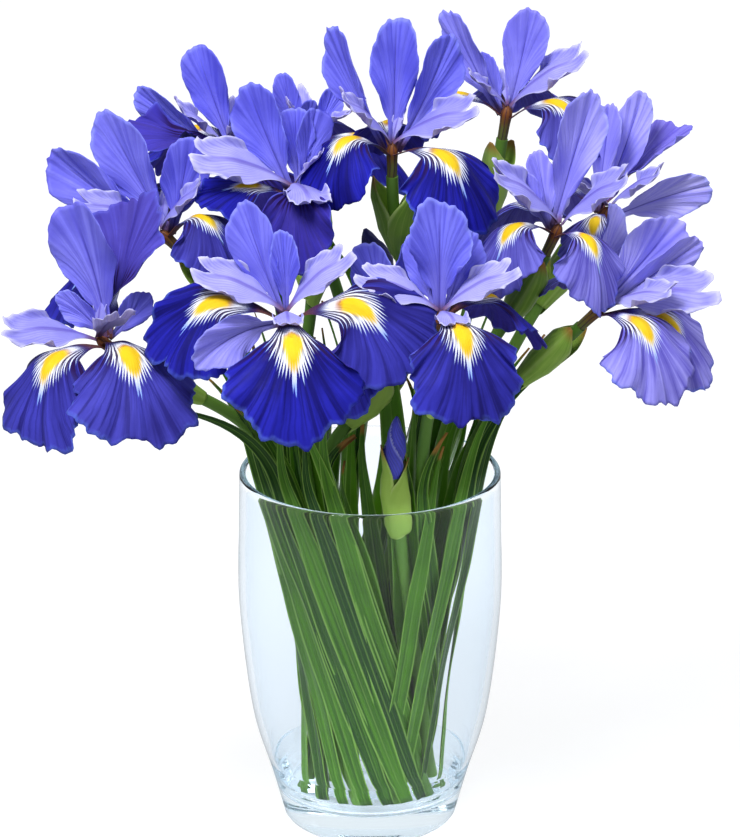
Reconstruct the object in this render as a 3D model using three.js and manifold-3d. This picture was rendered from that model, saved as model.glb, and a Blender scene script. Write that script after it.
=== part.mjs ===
// A clear glass vase with a hand-tied bunch of blue irises: thirteen open blooms and two buds.
// Millimetres, +Z up, the origin in the middle of the vase's foot. +X is right and -Y is the front.
import * as THREE from 'three';
import { mergeVertices } from 'three/addons/utils/BufferGeometryUtils.js';
import Module from 'manifold-3d';

const wasm = await Module();
wasm.setup();

// Driving dimensions
const VASE_HEIGHT = 173;
const VASE_RADIUS = 61;
const FOOT_RADIUS = 37.5;
const WALL = 3;
const FLOOR_HEIGHT = 14.5;
const WATER_LEVEL = 31;
const ROUND_SIDES = 32;

// The wall's outer line from the foot up: shares of the vase's radius and of its height
const OUTER_SHAPE = [
  [0.66, 0.02],
  [0.757, 0.145],
  [0.902, 0.324],
  [0.997, 0.618],
  [0.997, 0.838],
  [0.989, 0.994],
];
const OUTER_STEPS = 6;

// The hollow's rounded floor from its middle out: radius, and height above its lowest part
const FLOOR_SHAPE = [[0, 0], [33, 0], [37.5, 2.5], [41, 7]];

// Room left between neighbouring pieces, and how far a surface may move when spare triangles are taken out
const GAP = 0.3;
const FINISH = 0.1;

// Stems: straight from their ring on the vase's floor to their ring at the rim, a twist further round
const STEM_RADIUS = 3;
const STEM_SIDES = 6;
const STEM_STEPS = 8;
const STEM_BOW = 0.42;
const STEM_END = FLOOR_HEIGHT + 0.8;
const RIM_PASS = 176;
const TWIST = 83;
const RINGS = {
  outer: { foot: 29, rim: 47 },
  inner: { foot: 17, rim: 31 },
};

// Sheaths: share of their length, then half their width across and outward
const SPATHE_LENGTH = 46;
const SPATHE_SHAPE = [[0, 3.2, 3.2], [0.35, 6.8, 5.6], [0.7, 6.2, 5.4], [1, 3.6, 3.6]];

// Leaves: how far along the stem they start, and the share of their width at even steps
const LEAF_THICKNESS = 1;
const LEAF_WIDTH = 11;
const LEAF_START = 20;
const LEAF_TAPER = [0.55, 0.95, 1, 1, 0.59, 0.12];
const LEAF_CHANNEL = 0.22;
const LEAF_ROOT = 1.5;
const LEAF_CLEARANCE = 2.5;

// Flowers: a tube that opens into a funnel for the petals, and a core that carries the style's three arms.
// Both are given as distances along the flower's axis and radii.
const TUBE_LENGTH = 10;
const FUNNEL_SHAPE = [[GAP - TUBE_LENGTH, 3], [-5, 3.2], [-1.5, 6], [0, 5.6]];
const FUNNEL_SIDES = 8;
const ARM_HEIGHT = 6.5;
const CORE_SHAPE = [[0, 1.8], [ARM_HEIGHT - 2, 2.4], [ARM_HEIGHT + 1, 3.4]];
const CORE_SIDES = 6;
const FURLED_SHAPE = [[0, 3.2], [0.35, 4.6], [0.7, 3.2], [1, 0.8]];

// Petals: how far beside the axis and below the heart they start, and how much steeper the claw leaves it
const PETAL_THICKNESS = 0.8;
const PETAL_ROOT = 3.8;
const PETAL_DEPTH = 1.6;
const ARM_ROOT = 1.2;
const CLAW_SPRING = 18;
const SPINE_STEPS = 40;

// Flat patterns of the petals at size 1: a narrow claw, then a blade whose margin is an ellipse.
// Half widths at the foot and at the end of the claw, then the ellipse's middle, radius along the petal,
// half width, the angle either side of the tip that the margin covers, and the rows of points on it: each
// row's share of the veins' length and its number of points. The claw ends at CLAW_SHARE of the veins.
const CLAW_SHARE = 0.4;
const FALL = {
  claw: 26, root: 2.8, neck: 9, middle: 50, radius: 25, half: 27, spread: 118,
  rows: [[0, 3], [CLAW_SHARE, 3], [0.7, 5], [1, 5]],
};
const STANDARD = {
  claw: 14, root: 2.6, neck: 3.6, middle: 40, radius: 20, half: 14.5, spread: 142,
  rows: [[0, 3], [CLAW_SHARE, 3], [1, 5]],
};
const ARM = {
  claw: 14, root: 1.6, neck: 5, middle: 30, radius: 16, half: 8.5, spread: 110,
  rows: [[0, 3], [CLAW_SHARE, 3], [1, 3]],
};

const VIOLET = new THREE.MeshStandardMaterial({ color: 0x4336c4, roughness: 0.6, metalness: 0 });
const LILAC = new THREE.MeshStandardMaterial({ color: 0xb9b0ea, roughness: 0.6, metalness: 0 });
const GREEN = new THREE.MeshStandardMaterial({ color: 0x4f8a35, roughness: 0.5, metalness: 0 });
const GLASS = new THREE.MeshStandardMaterial({ color: 0xdbe9f5, roughness: 0.05, metalness: 0 });
const WATER = new THREE.MeshStandardMaterial({ color: 0xcfe3f2, roughness: 0.02, metalness: 0 });

// The irises, front ones first. Angles in degrees: bearing 0 is right, 90 away, 180 left, 270 to the front.
// heart: where the petals meet; lean: bearing and rise of the flower's tube.
// ring, place: where its stem passes the vase's rim. leaf: [length above the rim, lean right, lean away].
// falls: [bearing, rise of the claw, rise of the blade, size, roll, width]
// standards: [bearing, rise at the foot, rise at the tip, bearing that the face looks to, size, width]
// arms: [bearing, rise, size, roll, width]
const IRISES = [
  {
    name: 'front_left', heart: [-37, -78, 274], lean: [262, 72],
    ring: 'outer', place: 250, leaf: [60, 14, -8],
    falls: [[275, 0, -76, 1.06, 0, 1.02], [190, 16, -62, 0.95, -30, 1.05], [338, 16, -64, 0.98, 40, 1.05]],
    standards: [
      [138, 60, 66, 260, 0.9, 0.78],
      [222, 6, -24, 262, 0.86, 0.85],
      [100, 78, 80, 270, 0.64, 0.7],
    ],
    arms: [[174, 26, 0.98, -30, 1.2], [278, 36, 0.7, 0, 1.1], [20, 40, 0.85, 25, 1.2]],
  },
  {
    name: 'front_right', heart: [31, -78, 274], lean: [280, 74],
    ring: 'outer', place: 300, leaf: [40, 10, 6],
    falls: [[286, 8, -82, 1, 0, 0.98], [140, -5, -78, 0.86, 0, 0.9], [42, 5, -60, 0.85, 0, 1]],
    standards: [
      [90, 82, 84, 270, 0.88, 1.08],
      [118, 60, 62, 255, 0.68, 0.9],
      [52, 56, 60, 290, 0.68, 0.85],
    ],
    arms: [[172, 24, 0.88, -30, 1.2], [284, 34, 0.75, 0, 1.1], [14, 28, 0.85, 25, 1.2]],
  },
  {
    name: 'low_left', heart: [-120, -45, 251], lean: [195, 40],
    ring: 'outer', place: 212, leaf: [70, -10, -14],
    falls: [[228, 2, -84, 1, 0, 1.05], [290, 6, -66, 1.03, 0, 1.08], [50, 66, 60, 0.9, 0, 0.75]],
    standards: [[165, 80, 68, 250, 1.1, 0.95], [170, 50, 34, 262, 0.5, 0.9], [20, 40, 60, 290, 0.45, 1.2]],
    arms: [[200, 16, 1.05, -30, 1.2], [300, 42, 0.85, 0, 1.2], [62, 74, 0.5, 0, 0.8]],
  },
  {
    name: 'low_right', heart: [103, -38, 264], lean: [335, 46],
    ring: 'outer', place: 335, leaf: [80, 8, 10],
    falls: [[310, 4, -78, 0.9, 15, 0.85], [346, -2, -70, 0.88, 30, 0.85], [118, 34, -50, 0.6, 0, 1]],
    standards: [[25, 40, 46, 275, 0.9, 1.1], [12, 32, 34, 285, 0.92, 0.7], [75, 52, 50, 330, 0.85, 0.5]],
    arms: [[325, 22, 0.9, 20, 1.1], [352, 12, 1.15, 35, 1.3], [100, 45, 0.6, 0, 1]],
  },
  {
    name: 'right_middle', heart: [84, -25, 297], lean: [340, 66],
    ring: 'inner', place: 350, leaf: [60, 6, 12],
    falls: [[224, 16, -82, 0.8, 0, 0.9], [302, 10, -87, 0.8, 0, 0.75], [115, 10, -60, 0.85, 0, 1]],
    standards: [[24, 74, 71, 266, 1.1, 0.66], [165, 60, 60, 250, 0.55, 0.9], [118, 66, 66, 275, 0.6, 0.8]],
    arms: [[206, 42, 1.05, -30, 1.2], [340, 42, 0.95, 25, 1.3], [85, 34, 0.6, 0, 0.9]],
  },
  {
    name: 'mid_left', heart: [-93, -5, 288], lean: [185, 46],
    ring: 'outer', place: 178, leaf: [60, -12, -6],
    falls: [[315, 30, -68, 0.8, 0, 0.95], [195, -12, -60, 0.9, 0, 1], [80, 30, -30, 0.9, 0, 1]],
    standards: [[165, 32, 36, 260, 1.1, 0.75], [158, 57, 62, 260, 1.05, 0.85], [30, 75, 78, 270, 0.75, 1]],
    arms: [[335, 50, 0.75, 25, 1.2], [190, 26, 0.95, -30, 1.1], [80, 56, 0.4, 0, 0.8]],
  },
  {
    name: 'left_middle', heart: [-34, -8, 310], lean: [170, 74],
    ring: 'inner', place: 170, leaf: [50, -6, 4],
    falls: [[192, 15, -18, 0.6, -20, 0.9], [270, 5, -85, 0.76, 0, 0.8], [20, 44, -10, 0.5, 0, 0.9]],
    standards: [[150, 62, 66, 262, 0.9, 0.95], [58, 70, 72, 300, 0.65, 0.9], [100, 70, 74, 270, 0.65, 0.9]],
    arms: [[190, 22, 1.1, -35, 1.25], [288, 40, 0.7, 0, 1], [340, 50, 0.5, 0, 1.1]],
  },
  {
    name: 'top', heart: [10, 4, 326], lean: [270, 84],
    ring: 'inner', place: 50, leaf: [60, 4, 6],
    falls: [[222, 24, -78, 0.85, 0, 1], [316, 8, -80, 0.97, 0, 1.12], [95, 22, -70, 0.62, 0, 1]],
    standards: [
      [160, 60, 72, 232, 1.06, 0.58],
      [80, 80, 84, 270, 1.02, 0.74],
      [30, 56, 66, 290, 0.98, 0.76],
    ],
    arms: [[208, 46, 0.85, -22, 1.1], [345, 28, 1, 28, 1.25], [60, 60, 0.4, 0, 0.8]],
  },
  {
    name: 'back_right', heart: [108, 32, 287], lean: [15, 52],
    ring: 'outer', place: 15, leaf: [60, 10, 12],
    falls: [[30, 38, 28, 0.8, 0, 0.7], [120, 10, -55, 0.9, 0, 1], [258, 5, -78, 0.62, 0, 1]],
    standards: [
      [42, 58, 66, 260, 0.98, 0.65],
      [62, 76, 76, 262, 0.85, 0.55],
      [355, 26, 16, 290, 0.85, 0.85],
    ],
    arms: [[330, 40, 0.8, 20, 1.1], [150, 34, 0.5, 0, 0.9], [230, 34, 0.7, 0, 1]],
  },
  {
    name: 'back_left', heart: [-66, 50, 311], lean: [150, 60],
    ring: 'outer', place: 140, leaf: [60, -8, 8],
    falls: [[215, 22, 0, 0.8, 0, 0.9], [300, -20, -78, 0.8, 0, 1], [125, 12, -65, 0.85, 0, 1]],
    standards: [
      [140, 62, 66, 265, 0.88, 0.78],
      [165, 33, 38, 265, 0.86, 0.65],
      [40, 60, 60, 280, 0.5, 0.9],
    ],
    arms: [[212, 44, 0.8, -20, 1.1], [300, 34, 0.7, 0, 1], [75, 38, 0.6, 0, 0.9]],
  },
  {
    name: 'top_right', heart: [63, 52, 329], lean: [330, 80],
    ring: 'outer', place: 52, leaf: [70, 8, 12],
    falls: [[332, 22, -74, 0.8, 10, 1], [187, 26, -60, 0.72, 0, 1], [80, 15, -55, 0.9, 0, 1]],
    standards: [[160, 58, 64, 255, 0.9, 0.65], [44, 70, 74, 265, 0.84, 0.85], [125, 56, 56, 270, 0.5, 0.8]],
    arms: [[356, 38, 1, 22, 1.2], [200, 44, 0.6, -15, 0.9], [92, 30, 0.5, 0, 0.9]],
  },
  {
    name: 'back_middle', heart: [-30, 62, 312], lean: [105, 70],
    ring: 'outer', place: 100, leaf: [60, -4, 12],
    falls: [[228, 50, -35, 0.6, 0, 0.9], [345, 10, -60, 0.8, 0, 0.9], [80, 10, -60, 0.85, 0, 1]],
    standards: [[140, 70, 72, 265, 0.58, 0.75], [40, 60, 60, 290, 0.48, 0.9], [285, 75, 80, 270, 0.4, 0.9]],
    arms: [[222, 60, 0.5, -30, 1], [345, 30, 0.6, 0, 1], [100, 30, 0.7, 0, 1]],
  },
  {
    name: 'inner', heart: [11, -26, 248], lean: [270, 76],
    ring: 'inner', place: 230, leaf: [30, 2, -6],
    falls: [[228, 0, -72, 0.8, 0, 1], [330, 0, -70, 0.9, 0, 1], [90, 0, -75, 0.68, 0, 1]],
    standards: [[170, 75, 78, 260, 0.75, 1], [30, 75, 78, 290, 0.75, 1], [279, 72, 76, 270, 0.55, 0.8]],
    arms: [[228, 25, 0.9, 0, 1], [330, 25, 0.9, 0, 1], [90, 25, 0.9, 0, 1]],
  },
];

// The buds: furled petals of a length, on a base in the mouth of their sheath
const BUDS = [
  {
    name: 'bud_front', base: [10.8, -49.5, 191], lean: [285, 80], length: 28,
    ring: 'outer', place: 284, leaf: [4, 0, 0],
  },
  {
    name: 'bud_middle', base: [8, 22, 256], lean: [170, 68], length: 28,
    ring: 'inner', place: 110, leaf: [20, 4, 6],
  },
];

const radians = (degrees) => THREE.MathUtils.degToRad(degrees);

function heading(bearing, rise) {
  const flat = Math.cos(radians(rise));
  return new THREE.Vector3(
    flat * Math.cos(radians(bearing)),
    flat * Math.sin(radians(bearing)),
    Math.sin(radians(rise)),
  );
}

// Solids

function solidOf(geometry) {
  geometry.deleteAttribute('normal');
  geometry.deleteAttribute('uv');
  const merged = mergeVertices(geometry, 1e-4);
  return new wasm.Manifold(new wasm.Mesh({
    numProp: 3,
    vertProperties: new Float32Array(merged.attributes.position.array),
    triVerts: new Uint32Array(merged.index.array),
  }));
}

function largest(solid) {
  const bodies = solid.decompose();
  return bodies.reduce((best, body) => (body.volume() > best.volume() ? body : best));
}

function geometryOf(solid) {
  const mesh = solid.getMesh();
  const geometry = new THREE.BufferGeometry();
  geometry.setAttribute('position', new THREE.BufferAttribute(mesh.vertProperties, 3));
  geometry.setIndex(new THREE.BufferAttribute(mesh.triVerts, 1));
  return geometry;
}

// A closed skin over rows of points, each row a closed ring. The first and last rings are capped.
function closedSkin(rings) {
  const sides = rings[0].length;
  const positions = rings.flat().flatMap((point) => point.toArray());
  const index = [];
  const at = (row, side) => row * sides + (side % sides);
  for (let row = 0; row < rings.length - 1; row += 1) {
    for (let side = 0; side < sides; side += 1) {
      index.push(at(row, side), at(row, side + 1), at(row + 1, side + 1));
      index.push(at(row, side), at(row + 1, side + 1), at(row + 1, side));
    }
  }
  const last = rings.length - 1;
  for (let side = 1; side < sides - 1; side += 1) {
    index.push(at(0, 0), at(0, side + 1), at(0, side));
    index.push(at(last, 0), at(last, side), at(last, side + 1));
  }
  const geometry = new THREE.BufferGeometry();
  geometry.setAttribute('position', new THREE.Float32BufferAttribute(positions, 3));
  geometry.setIndex(index);
  return geometry;
}

// The triangles between two rows of points that may differ in number
function strip(low, lowCount, high, highCount) {
  const index = [];
  let [left, right] = [0, 0];
  while (left < lowCount - 1 || right < highCount - 1) {
    const nextLow = (left + 1) / (lowCount - 1);
    const nextHigh = (right + 1) / (highCount - 1);
    if (nextLow <= nextHigh) {
      index.push(low + left, low + left + 1, high + right);
      left += 1;
    } else {
      index.push(low + left, high + right + 1, high + right);
      right += 1;
    }
  }
  return index;
}

// A thin sheet with a thickness, over rows of points: both faces are split into triangles alike
function sheet(rows, thickness) {
  const starts = rows.map((_, order) => rows.slice(0, order).reduce((sum, row) => sum + row.length, 0));
  const face = rows.slice(1).flatMap((row, order) => (
    strip(starts[order], rows[order].length, starts[order + 1], row.length)
  ));
  const middle = new THREE.BufferGeometry().setFromPoints(rows.flat());
  middle.setIndex(face);
  middle.computeVertexNormals();
  const normals = middle.getAttribute('normal');
  const count = normals.count;
  const points = [0.5, -0.5].flatMap((side) => rows.flat().map((point, order) => (
    point.clone().addScaledVector(new THREE.Vector3().fromBufferAttribute(normals, order), side * thickness)
  )));
  const last = rows.length - 1;
  const border = [
    ...rows[0].map((_, column) => column),
    ...starts.slice(1, last).map((start, order) => start + rows[order + 1].length - 1),
    ...rows[last].map((_, column) => starts[last] + rows[last].length - 1 - column),
    ...starts.slice(1, last).reverse(),
  ];
  const rim = border.flatMap((here, order) => {
    const next = border[(order + 1) % border.length];
    return [here + count, next + count, next, here + count, next, here];
  });
  const back = face.map((_, order) => face[3 * Math.floor(order / 3) + [0, 2, 1][order % 3]] + count);
  const geometry = new THREE.BufferGeometry().setFromPoints(points);
  geometry.setIndex([...face, ...back, ...rim]);
  return geometry;
}

// The same rows with their border moved out, for the room that a sheet needs round it
function widened(rows, margin) {
  const outward = (point, inner) => point.clone().add(point.clone().sub(inner).setLength(margin));
  const beyond = (row, inner) => row.map((point, column) => (
    outward(point, inner[Math.round((column * (inner.length - 1)) / (row.length - 1))])
  ));
  const wide = rows.map((row) => row.map((point, column) => {
    if (column === 0) return outward(point, row[1]);
    if (column === row.length - 1) return outward(point, row[column - 1]);
    return point;
  }));
  const last = rows.length - 1;
  return [beyond(wide[0], wide[1]), ...wide.slice(1, last), beyond(wide[last], wide[last - 1])];
}

// A body with the room round it that its neighbours keep clear of
const thinBody = (rows, thickness) => ({
  body: solidOf(sheet(rows, thickness)),
  room: solidOf(sheet(widened(rows, GAP), thickness + 2 * GAP)),
});

function joined(parts) {
  return {
    body: parts.map((part) => part.body).reduce((sum, body) => sum.add(body)),
    room: parts.map((part) => part.room).reduce((sum, room) => sum.add(room)),
  };
}

// Petals

const smooth = (x) => THREE.MathUtils.smoothstep(x, 0, 1);

// Across and along the flat pattern, at share s of a vein and place t across, -1 to 1
function onPattern(pattern, s, t) {
  if (s <= CLAW_SHARE) {
    const k = s / CLAW_SHARE;
    return { x: t * (pattern.root + (pattern.neck - pattern.root) * k * k), y: pattern.claw * k };
  }
  const angle = t * radians(pattern.spread);
  const length = pattern.middle + pattern.radius;
  const vein = new THREE.QuadraticBezierCurve(
    new THREE.Vector2(t * pattern.neck, pattern.claw),
    new THREE.Vector2(
      t * (pattern.neck + 0.25 * pattern.half * Math.abs(t)),
      pattern.claw + (1 - 0.85 * t * t) * 0.4 * (length - pattern.claw),
    ),
    new THREE.Vector2(pattern.half * Math.sin(angle), pattern.middle + pattern.radius * Math.cos(angle)),
  );
  return vein.getPoint((s - CLAW_SHARE) / (1 - CLAW_SHARE));
}

// The middle line of a petal, upright over its bearing, bent through rises at shares of its length
class Spine {
  constructor(start, bearing, rises, length, { roll = 0, face = null } = {}) {
    Object.assign(this, { bearing, rises, length, roll, face });
    this.points = [start.clone()];
    for (let step = 0; step < SPINE_STEPS; step += 1) {
      const middle = heading(bearing, this.riseAt((step + 0.5) / SPINE_STEPS));
      this.points.push(this.points[step].clone().addScaledVector(middle, length / SPINE_STEPS));
    }
  }

  riseAt(share) {
    const next = Math.max(1, this.rises.findIndex(([stop]) => stop >= share));
    const [start, from] = this.rises[next - 1];
    const [stop, to] = this.rises[next];
    return from + (to - from) * smooth((share - start) / (stop - start));
  }

  // Position, the direction across and the direction out of the face at a length along the petal
  frame(y) {
    const share = THREE.MathUtils.clamp(y / this.length, 0, 1);
    const place = share * (this.points.length - 1);
    const low = Math.min(Math.floor(place), this.points.length - 2);
    const position = this.points[low].clone().lerp(this.points[low + 1], place - low);
    const rise = this.riseAt(share);
    const along = heading(this.bearing, rise);
    if (this.face !== null) {
      const across = along.clone().cross(heading(this.face, 0)).normalize();
      return { position, across, out: across.clone().cross(along) };
    }
    const level = heading(this.bearing + 90, 0);
    const up = heading(this.bearing, rise + 90);
    const turn = radians(this.roll) * smooth(share * 2.2);
    return {
      position,
      across: level.clone().multiplyScalar(Math.cos(turn)).addScaledVector(up, Math.sin(turn)),
      out: up.clone().multiplyScalar(Math.cos(turn)).addScaledVector(level, -Math.sin(turn)),
    };
  }
}

function petalRows(pattern, spine, form, size, width) {
  return pattern.rows.map(([s, columns]) => Array.from({ length: columns }, (_, column) => {
    const t = -1 + (2 * column) / (columns - 1);
    const { x, y } = onPattern(pattern, s, t);
    const { position, across, out } = spine.frame(y * size);
    return position.addScaledVector(across, x * size * width).addScaledVector(out, form(x, y) * size);
  }));
}

// How far a petal's face stands out, across and along its pattern: a fall's claw is a channel and its blade
// a dome, a standard is hollow and an arm is a roof
const fallForm = (x, y) => {
  const channel = 0.04 * (1 - smooth((y - 20) / 16));
  const dome = 0.009 * smooth((y - 30) / 20);
  return (channel - dome) * x * x;
};
const standardForm = (x) => 0.018 * x * x;
const armForm = (x) => -0.04 * x * x;

function fall(start, [bearing, claw, blade, size, roll, width]) {
  const rises = [[0, claw + CLAW_SPRING], [0.3, claw], [0.6, blade * 0.8 + claw * 0.2], [1, blade]];
  const spine = new Spine(start, bearing, rises, (FALL.middle + FALL.radius) * size, { roll });
  return thinBody(petalRows(FALL, spine, fallForm, size, width), PETAL_THICKNESS);
}

function standard(start, [bearing, foot, tip, face, size, width]) {
  const length = (STANDARD.middle + STANDARD.radius) * size;
  const spine = new Spine(start, bearing, [[0, foot], [1, tip]], length, { face });
  return thinBody(petalRows(STANDARD, spine, standardForm, size, width), PETAL_THICKNESS);
}

function arm(start, [bearing, rise, size, roll, width]) {
  const rises = [[0, rise + 14], [0.45, rise], [0.75, rise - 18], [1, rise + 20]];
  const spine = new Spine(start, bearing, rises, (ARM.middle + ARM.radius) * size, { roll });
  return thinBody(petalRows(ARM, spine, armForm, size, width), PETAL_THICKNESS);
}

// A round body along a straight axis, from [distance, radius] stations
function turned(start, direction, stations, sides, grow = 0) {
  const side = new THREE.Vector3(0, 0, 1).cross(direction);
  if (side.length() < 0.1) side.set(1, 0, 0);
  side.normalize();
  const other = direction.clone().cross(side);
  return closedSkin(stations.map(([distance, radius], order) => {
    const end = order === 0 ? -grow : order === stations.length - 1 ? grow : 0;
    const middle = start.clone().addScaledVector(direction, distance + end);
    return Array.from({ length: sides }, (_, corner) => {
      const angle = (2 * Math.PI * corner) / sides;
      return middle.clone()
        .addScaledVector(side, (radius + grow) * Math.cos(angle))
        .addScaledVector(other, (radius + grow) * Math.sin(angle));
    });
  }));
}

const turnedBody = (start, direction, stations, sides) => ({
  body: solidOf(turned(start, direction, stations, sides)),
  room: solidOf(turned(start, direction, stations, sides, GAP)),
});

// A petal starts beside the axis of its flower, on the side that it leaves to
function beside(middle, up, direction, radius) {
  const aside = direction.clone().addScaledVector(up, -direction.dot(up)).normalize();
  return middle.clone().addScaledVector(aside, radius);
}

function petals(iris) {
  const heart = new THREE.Vector3(...iris.heart);
  const up = heading(...iris.lean);
  const funnel = turnedBody(heart, up, FUNNEL_SHAPE, FUNNEL_SIDES);
  const low = heart.clone().addScaledVector(up, -PETAL_DEPTH);
  const root = (bearing, rise) => beside(low, up, heading(bearing, rise), PETAL_ROOT);
  return joined([
    funnel,
    ...iris.falls.map((values) => fall(root(values[0], values[1] + CLAW_SPRING), values)),
    ...iris.standards.map((values) => standard(root(values[0], values[1]), values)),
  ]);
}

function style(iris) {
  const up = heading(...iris.lean);
  const foot = new THREE.Vector3(...iris.heart).addScaledVector(up, GAP);
  const core = turnedBody(foot, up, CORE_SHAPE, CORE_SIDES);
  const top = foot.clone().addScaledVector(up, ARM_HEIGHT);
  const root = ([bearing, rise]) => beside(top, up, heading(bearing, rise), ARM_ROOT);
  return joined([core, ...iris.arms.map((values) => arm(root(values), values))]);
}

// Stems

// From the foot of its ring, straight up through the vase, then in a bow to the flower
function stemPath({ ring, place, top, lean }) {
  const { foot, rim } = RINGS[ring];
  const low = heading(place + TWIST, 0).multiplyScalar(foot).setZ(STEM_END);
  const high = heading(place, 0).multiplyScalar(rim).setZ(RIM_PASS);
  const reach = high.distanceTo(top) * STEM_BOW;
  const rising = high.clone().sub(low).normalize();
  const path = new THREE.CurvePath();
  path.add(new THREE.LineCurve3(low, high));
  path.add(new THREE.CubicBezierCurve3(
    high,
    high.clone().addScaledVector(rising, reach),
    top.clone().addScaledVector(heading(...lean), -reach),
    top,
  ));
  return path;
}

// Rings of points square to a path at lengths along it, each with its own radii across and outward
function alongPath(path, stations, sides, grow = 0) {
  const total = path.getLength();
  return closedSkin(stations.map(([length, across, outward], order) => {
    const end = order === 0 ? -grow : order === stations.length - 1 ? grow : 0;
    const share = THREE.MathUtils.clamp(length / total, 0, 1);
    const tangent = path.getTangentAt(share);
    const middle = path.getPointAt(share).addScaledVector(tangent, end);
    const side = new THREE.Vector3(0, 0, 1).cross(tangent).normalize();
    const other = tangent.clone().cross(side);
    return Array.from({ length: sides }, (_, corner) => {
      const angle = (2 * Math.PI * corner) / sides;
      return middle.clone()
        .addScaledVector(side, (across + grow) * Math.cos(angle))
        .addScaledVector(other, (outward + grow) * Math.sin(angle));
    });
  }));
}

const pathBody = (path, stations, sides, margin = GAP) => ({
  body: solidOf(alongPath(path, stations, sides)),
  room: solidOf(alongPath(path, stations, sides, margin)),
});

function stem(path) {
  const step = (path.getLength() - TUBE_LENGTH) / STEM_STEPS;
  const stations = Array.from({ length: STEM_STEPS + 1 }, (_, order) => (
    [order * step, STEM_RADIUS, STEM_RADIUS]
  ));
  return pathBody(path, stations, STEM_SIDES);
}

// Two bracts wrapped round the top of the stem, seen as one pointed sheath
function spathe(path) {
  const foot = path.getLength() - SPATHE_LENGTH;
  const stations = SPATHE_SHAPE.map(([share, ...radii]) => [foot + share * SPATHE_LENGTH, ...radii]);
  return pathBody(path, stations, STEM_SIDES);
}

// A channelled strap that leaves its stem low in the vase, rises outside it and leans away above the rim
function leaf(path, [above, right, away]) {
  const total = path.getLength();
  const rimLength = path.getCurveLengths()[0];
  const step = (Math.min(rimLength + above, total - 2) - LEAF_START) / (LEAF_TAPER.length - 1);
  return thinBody(LEAF_TAPER.map((taper, row) => {
    const length = LEAF_START + row * step;
    const tangent = path.getTangentAt(length / total);
    const middle = path.getPointAt(length / total);
    const outward = new THREE.Vector3(middle.x, middle.y, 0).normalize();
    const across = tangent.clone().cross(outward).normalize();
    const out = across.clone().cross(tangent).normalize();
    const lean = Math.max(0, (length - rimLength) / above);
    middle.addScaledVector(out, row === 0 ? LEAF_ROOT : STEM_RADIUS + LEAF_CLEARANCE);
    middle.add(new THREE.Vector3(right, away, 0).multiplyScalar(lean * lean));
    const half = (LEAF_WIDTH / 2) * taper;
    return [-1, 0, 1].map((t) => middle.clone()
      .addScaledVector(across, t * half)
      .addScaledVector(out, LEAF_CHANNEL * half * (Math.abs(t) - 0.6)));
  }), LEAF_THICKNESS);
}

function irisStem(iris) {
  const top = new THREE.Vector3(...iris.heart).addScaledVector(heading(...iris.lean), -TUBE_LENGTH);
  const path = stemPath({ ...iris, top });
  return joined([stem(path), spathe(path), leaf(path, iris.leaf)]);
}

function budStem(bud) {
  const path = stemPath({ ...bud, top: new THREE.Vector3(...bud.base) });
  return joined([stem(path), spathe(path), leaf(path, bud.leaf)]);
}

function furledPetals(bud) {
  const stations = FURLED_SHAPE.map(([share, radius]) => [GAP + share * (bud.length - GAP), radius]);
  return turnedBody(new THREE.Vector3(...bud.base), heading(...bud.lean), stations, FUNNEL_SIDES);
}

// Vase and water

const outerLine = new THREE.SplineCurve(OUTER_SHAPE.map(([radius, height]) => (
  new THREE.Vector2(radius * VASE_RADIUS, height * VASE_HEIGHT)
))).getPoints(OUTER_STEPS);
const floorLine = FLOOR_SHAPE.map(([radius, height]) => new THREE.Vector2(radius, FLOOR_HEIGHT + height));
const innerLine = outerLine
  .filter((point) => point.y > floorLine.at(-1).y + WALL)
  .map((point) => new THREE.Vector2(point.x - WALL, point.y));

function vase() {
  const rim = new THREE.Vector2((outerLine.at(-1).x + innerLine.at(-1).x) / 2, VASE_HEIGHT);
  return solidOf(new THREE.LatheGeometry([
    new THREE.Vector2(0, 0),
    new THREE.Vector2(FOOT_RADIUS, 0),
    ...outerLine,
    rim,
    ...innerLine.toReversed(),
    ...floorLine.toReversed(),
  ], ROUND_SIDES).rotateX(Math.PI / 2));
}

// The water keeps clear of the glass and has a hole round every stem and leaf that stands in it
function water(stemRooms) {
  const wetLine = floorLine.map((point) => new THREE.Vector2(Math.max(0, point.x - GAP), point.y + GAP));
  const [below, above] = [floorLine.at(-1), innerLine[0]];
  const share = (WATER_LEVEL - below.y) / (above.y - below.y);
  const edge = below.clone().lerp(above, share).x - GAP;
  const pool = solidOf(new THREE.LatheGeometry([
    ...wetLine,
    new THREE.Vector2(edge, WATER_LEVEL),
    new THREE.Vector2(0, WATER_LEVEL),
  ], ROUND_SIDES).rotateX(Math.PI / 2));
  return largest(stemRooms.reduce((rest, room) => rest.subtract(room), pool));
}

// The bunch: each piece gives way to those before it, so that no two share a space

const bunch = new THREE.Group();
bunch.name = 'irises_in_a_vase';

function place(name, solid, material) {
  const mesh = new THREE.Mesh(geometryOf(solid), material);
  mesh.name = name;
  bunch.add(mesh);
}

const greens = [
  ...IRISES.map((iris) => ({ name: `iris_${iris.name}_stem`, material: GREEN, ...irisStem(iris) })),
  ...BUDS.map((bud) => ({ name: `${bud.name}_stem`, material: GREEN, ...budStem(bud) })),
];
const flowers = [
  ...IRISES.flatMap((iris) => [
    { name: `iris_${iris.name}_style`, material: LILAC, ...style(iris) },
    { name: `iris_${iris.name}_petals`, material: VIOLET, ...petals(iris) },
  ]),
  ...BUDS.map((bud) => ({ name: `${bud.name}_petals`, material: VIOLET, ...furledPetals(bud) })),
];

function overlaps(a, b) {
  const [first, second] = [a.boundingBox(), b.boundingBox()];
  return [0, 1, 2].every((axis) => first.min[axis] < second.max[axis] && second.min[axis] < first.max[axis]);
}

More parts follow.
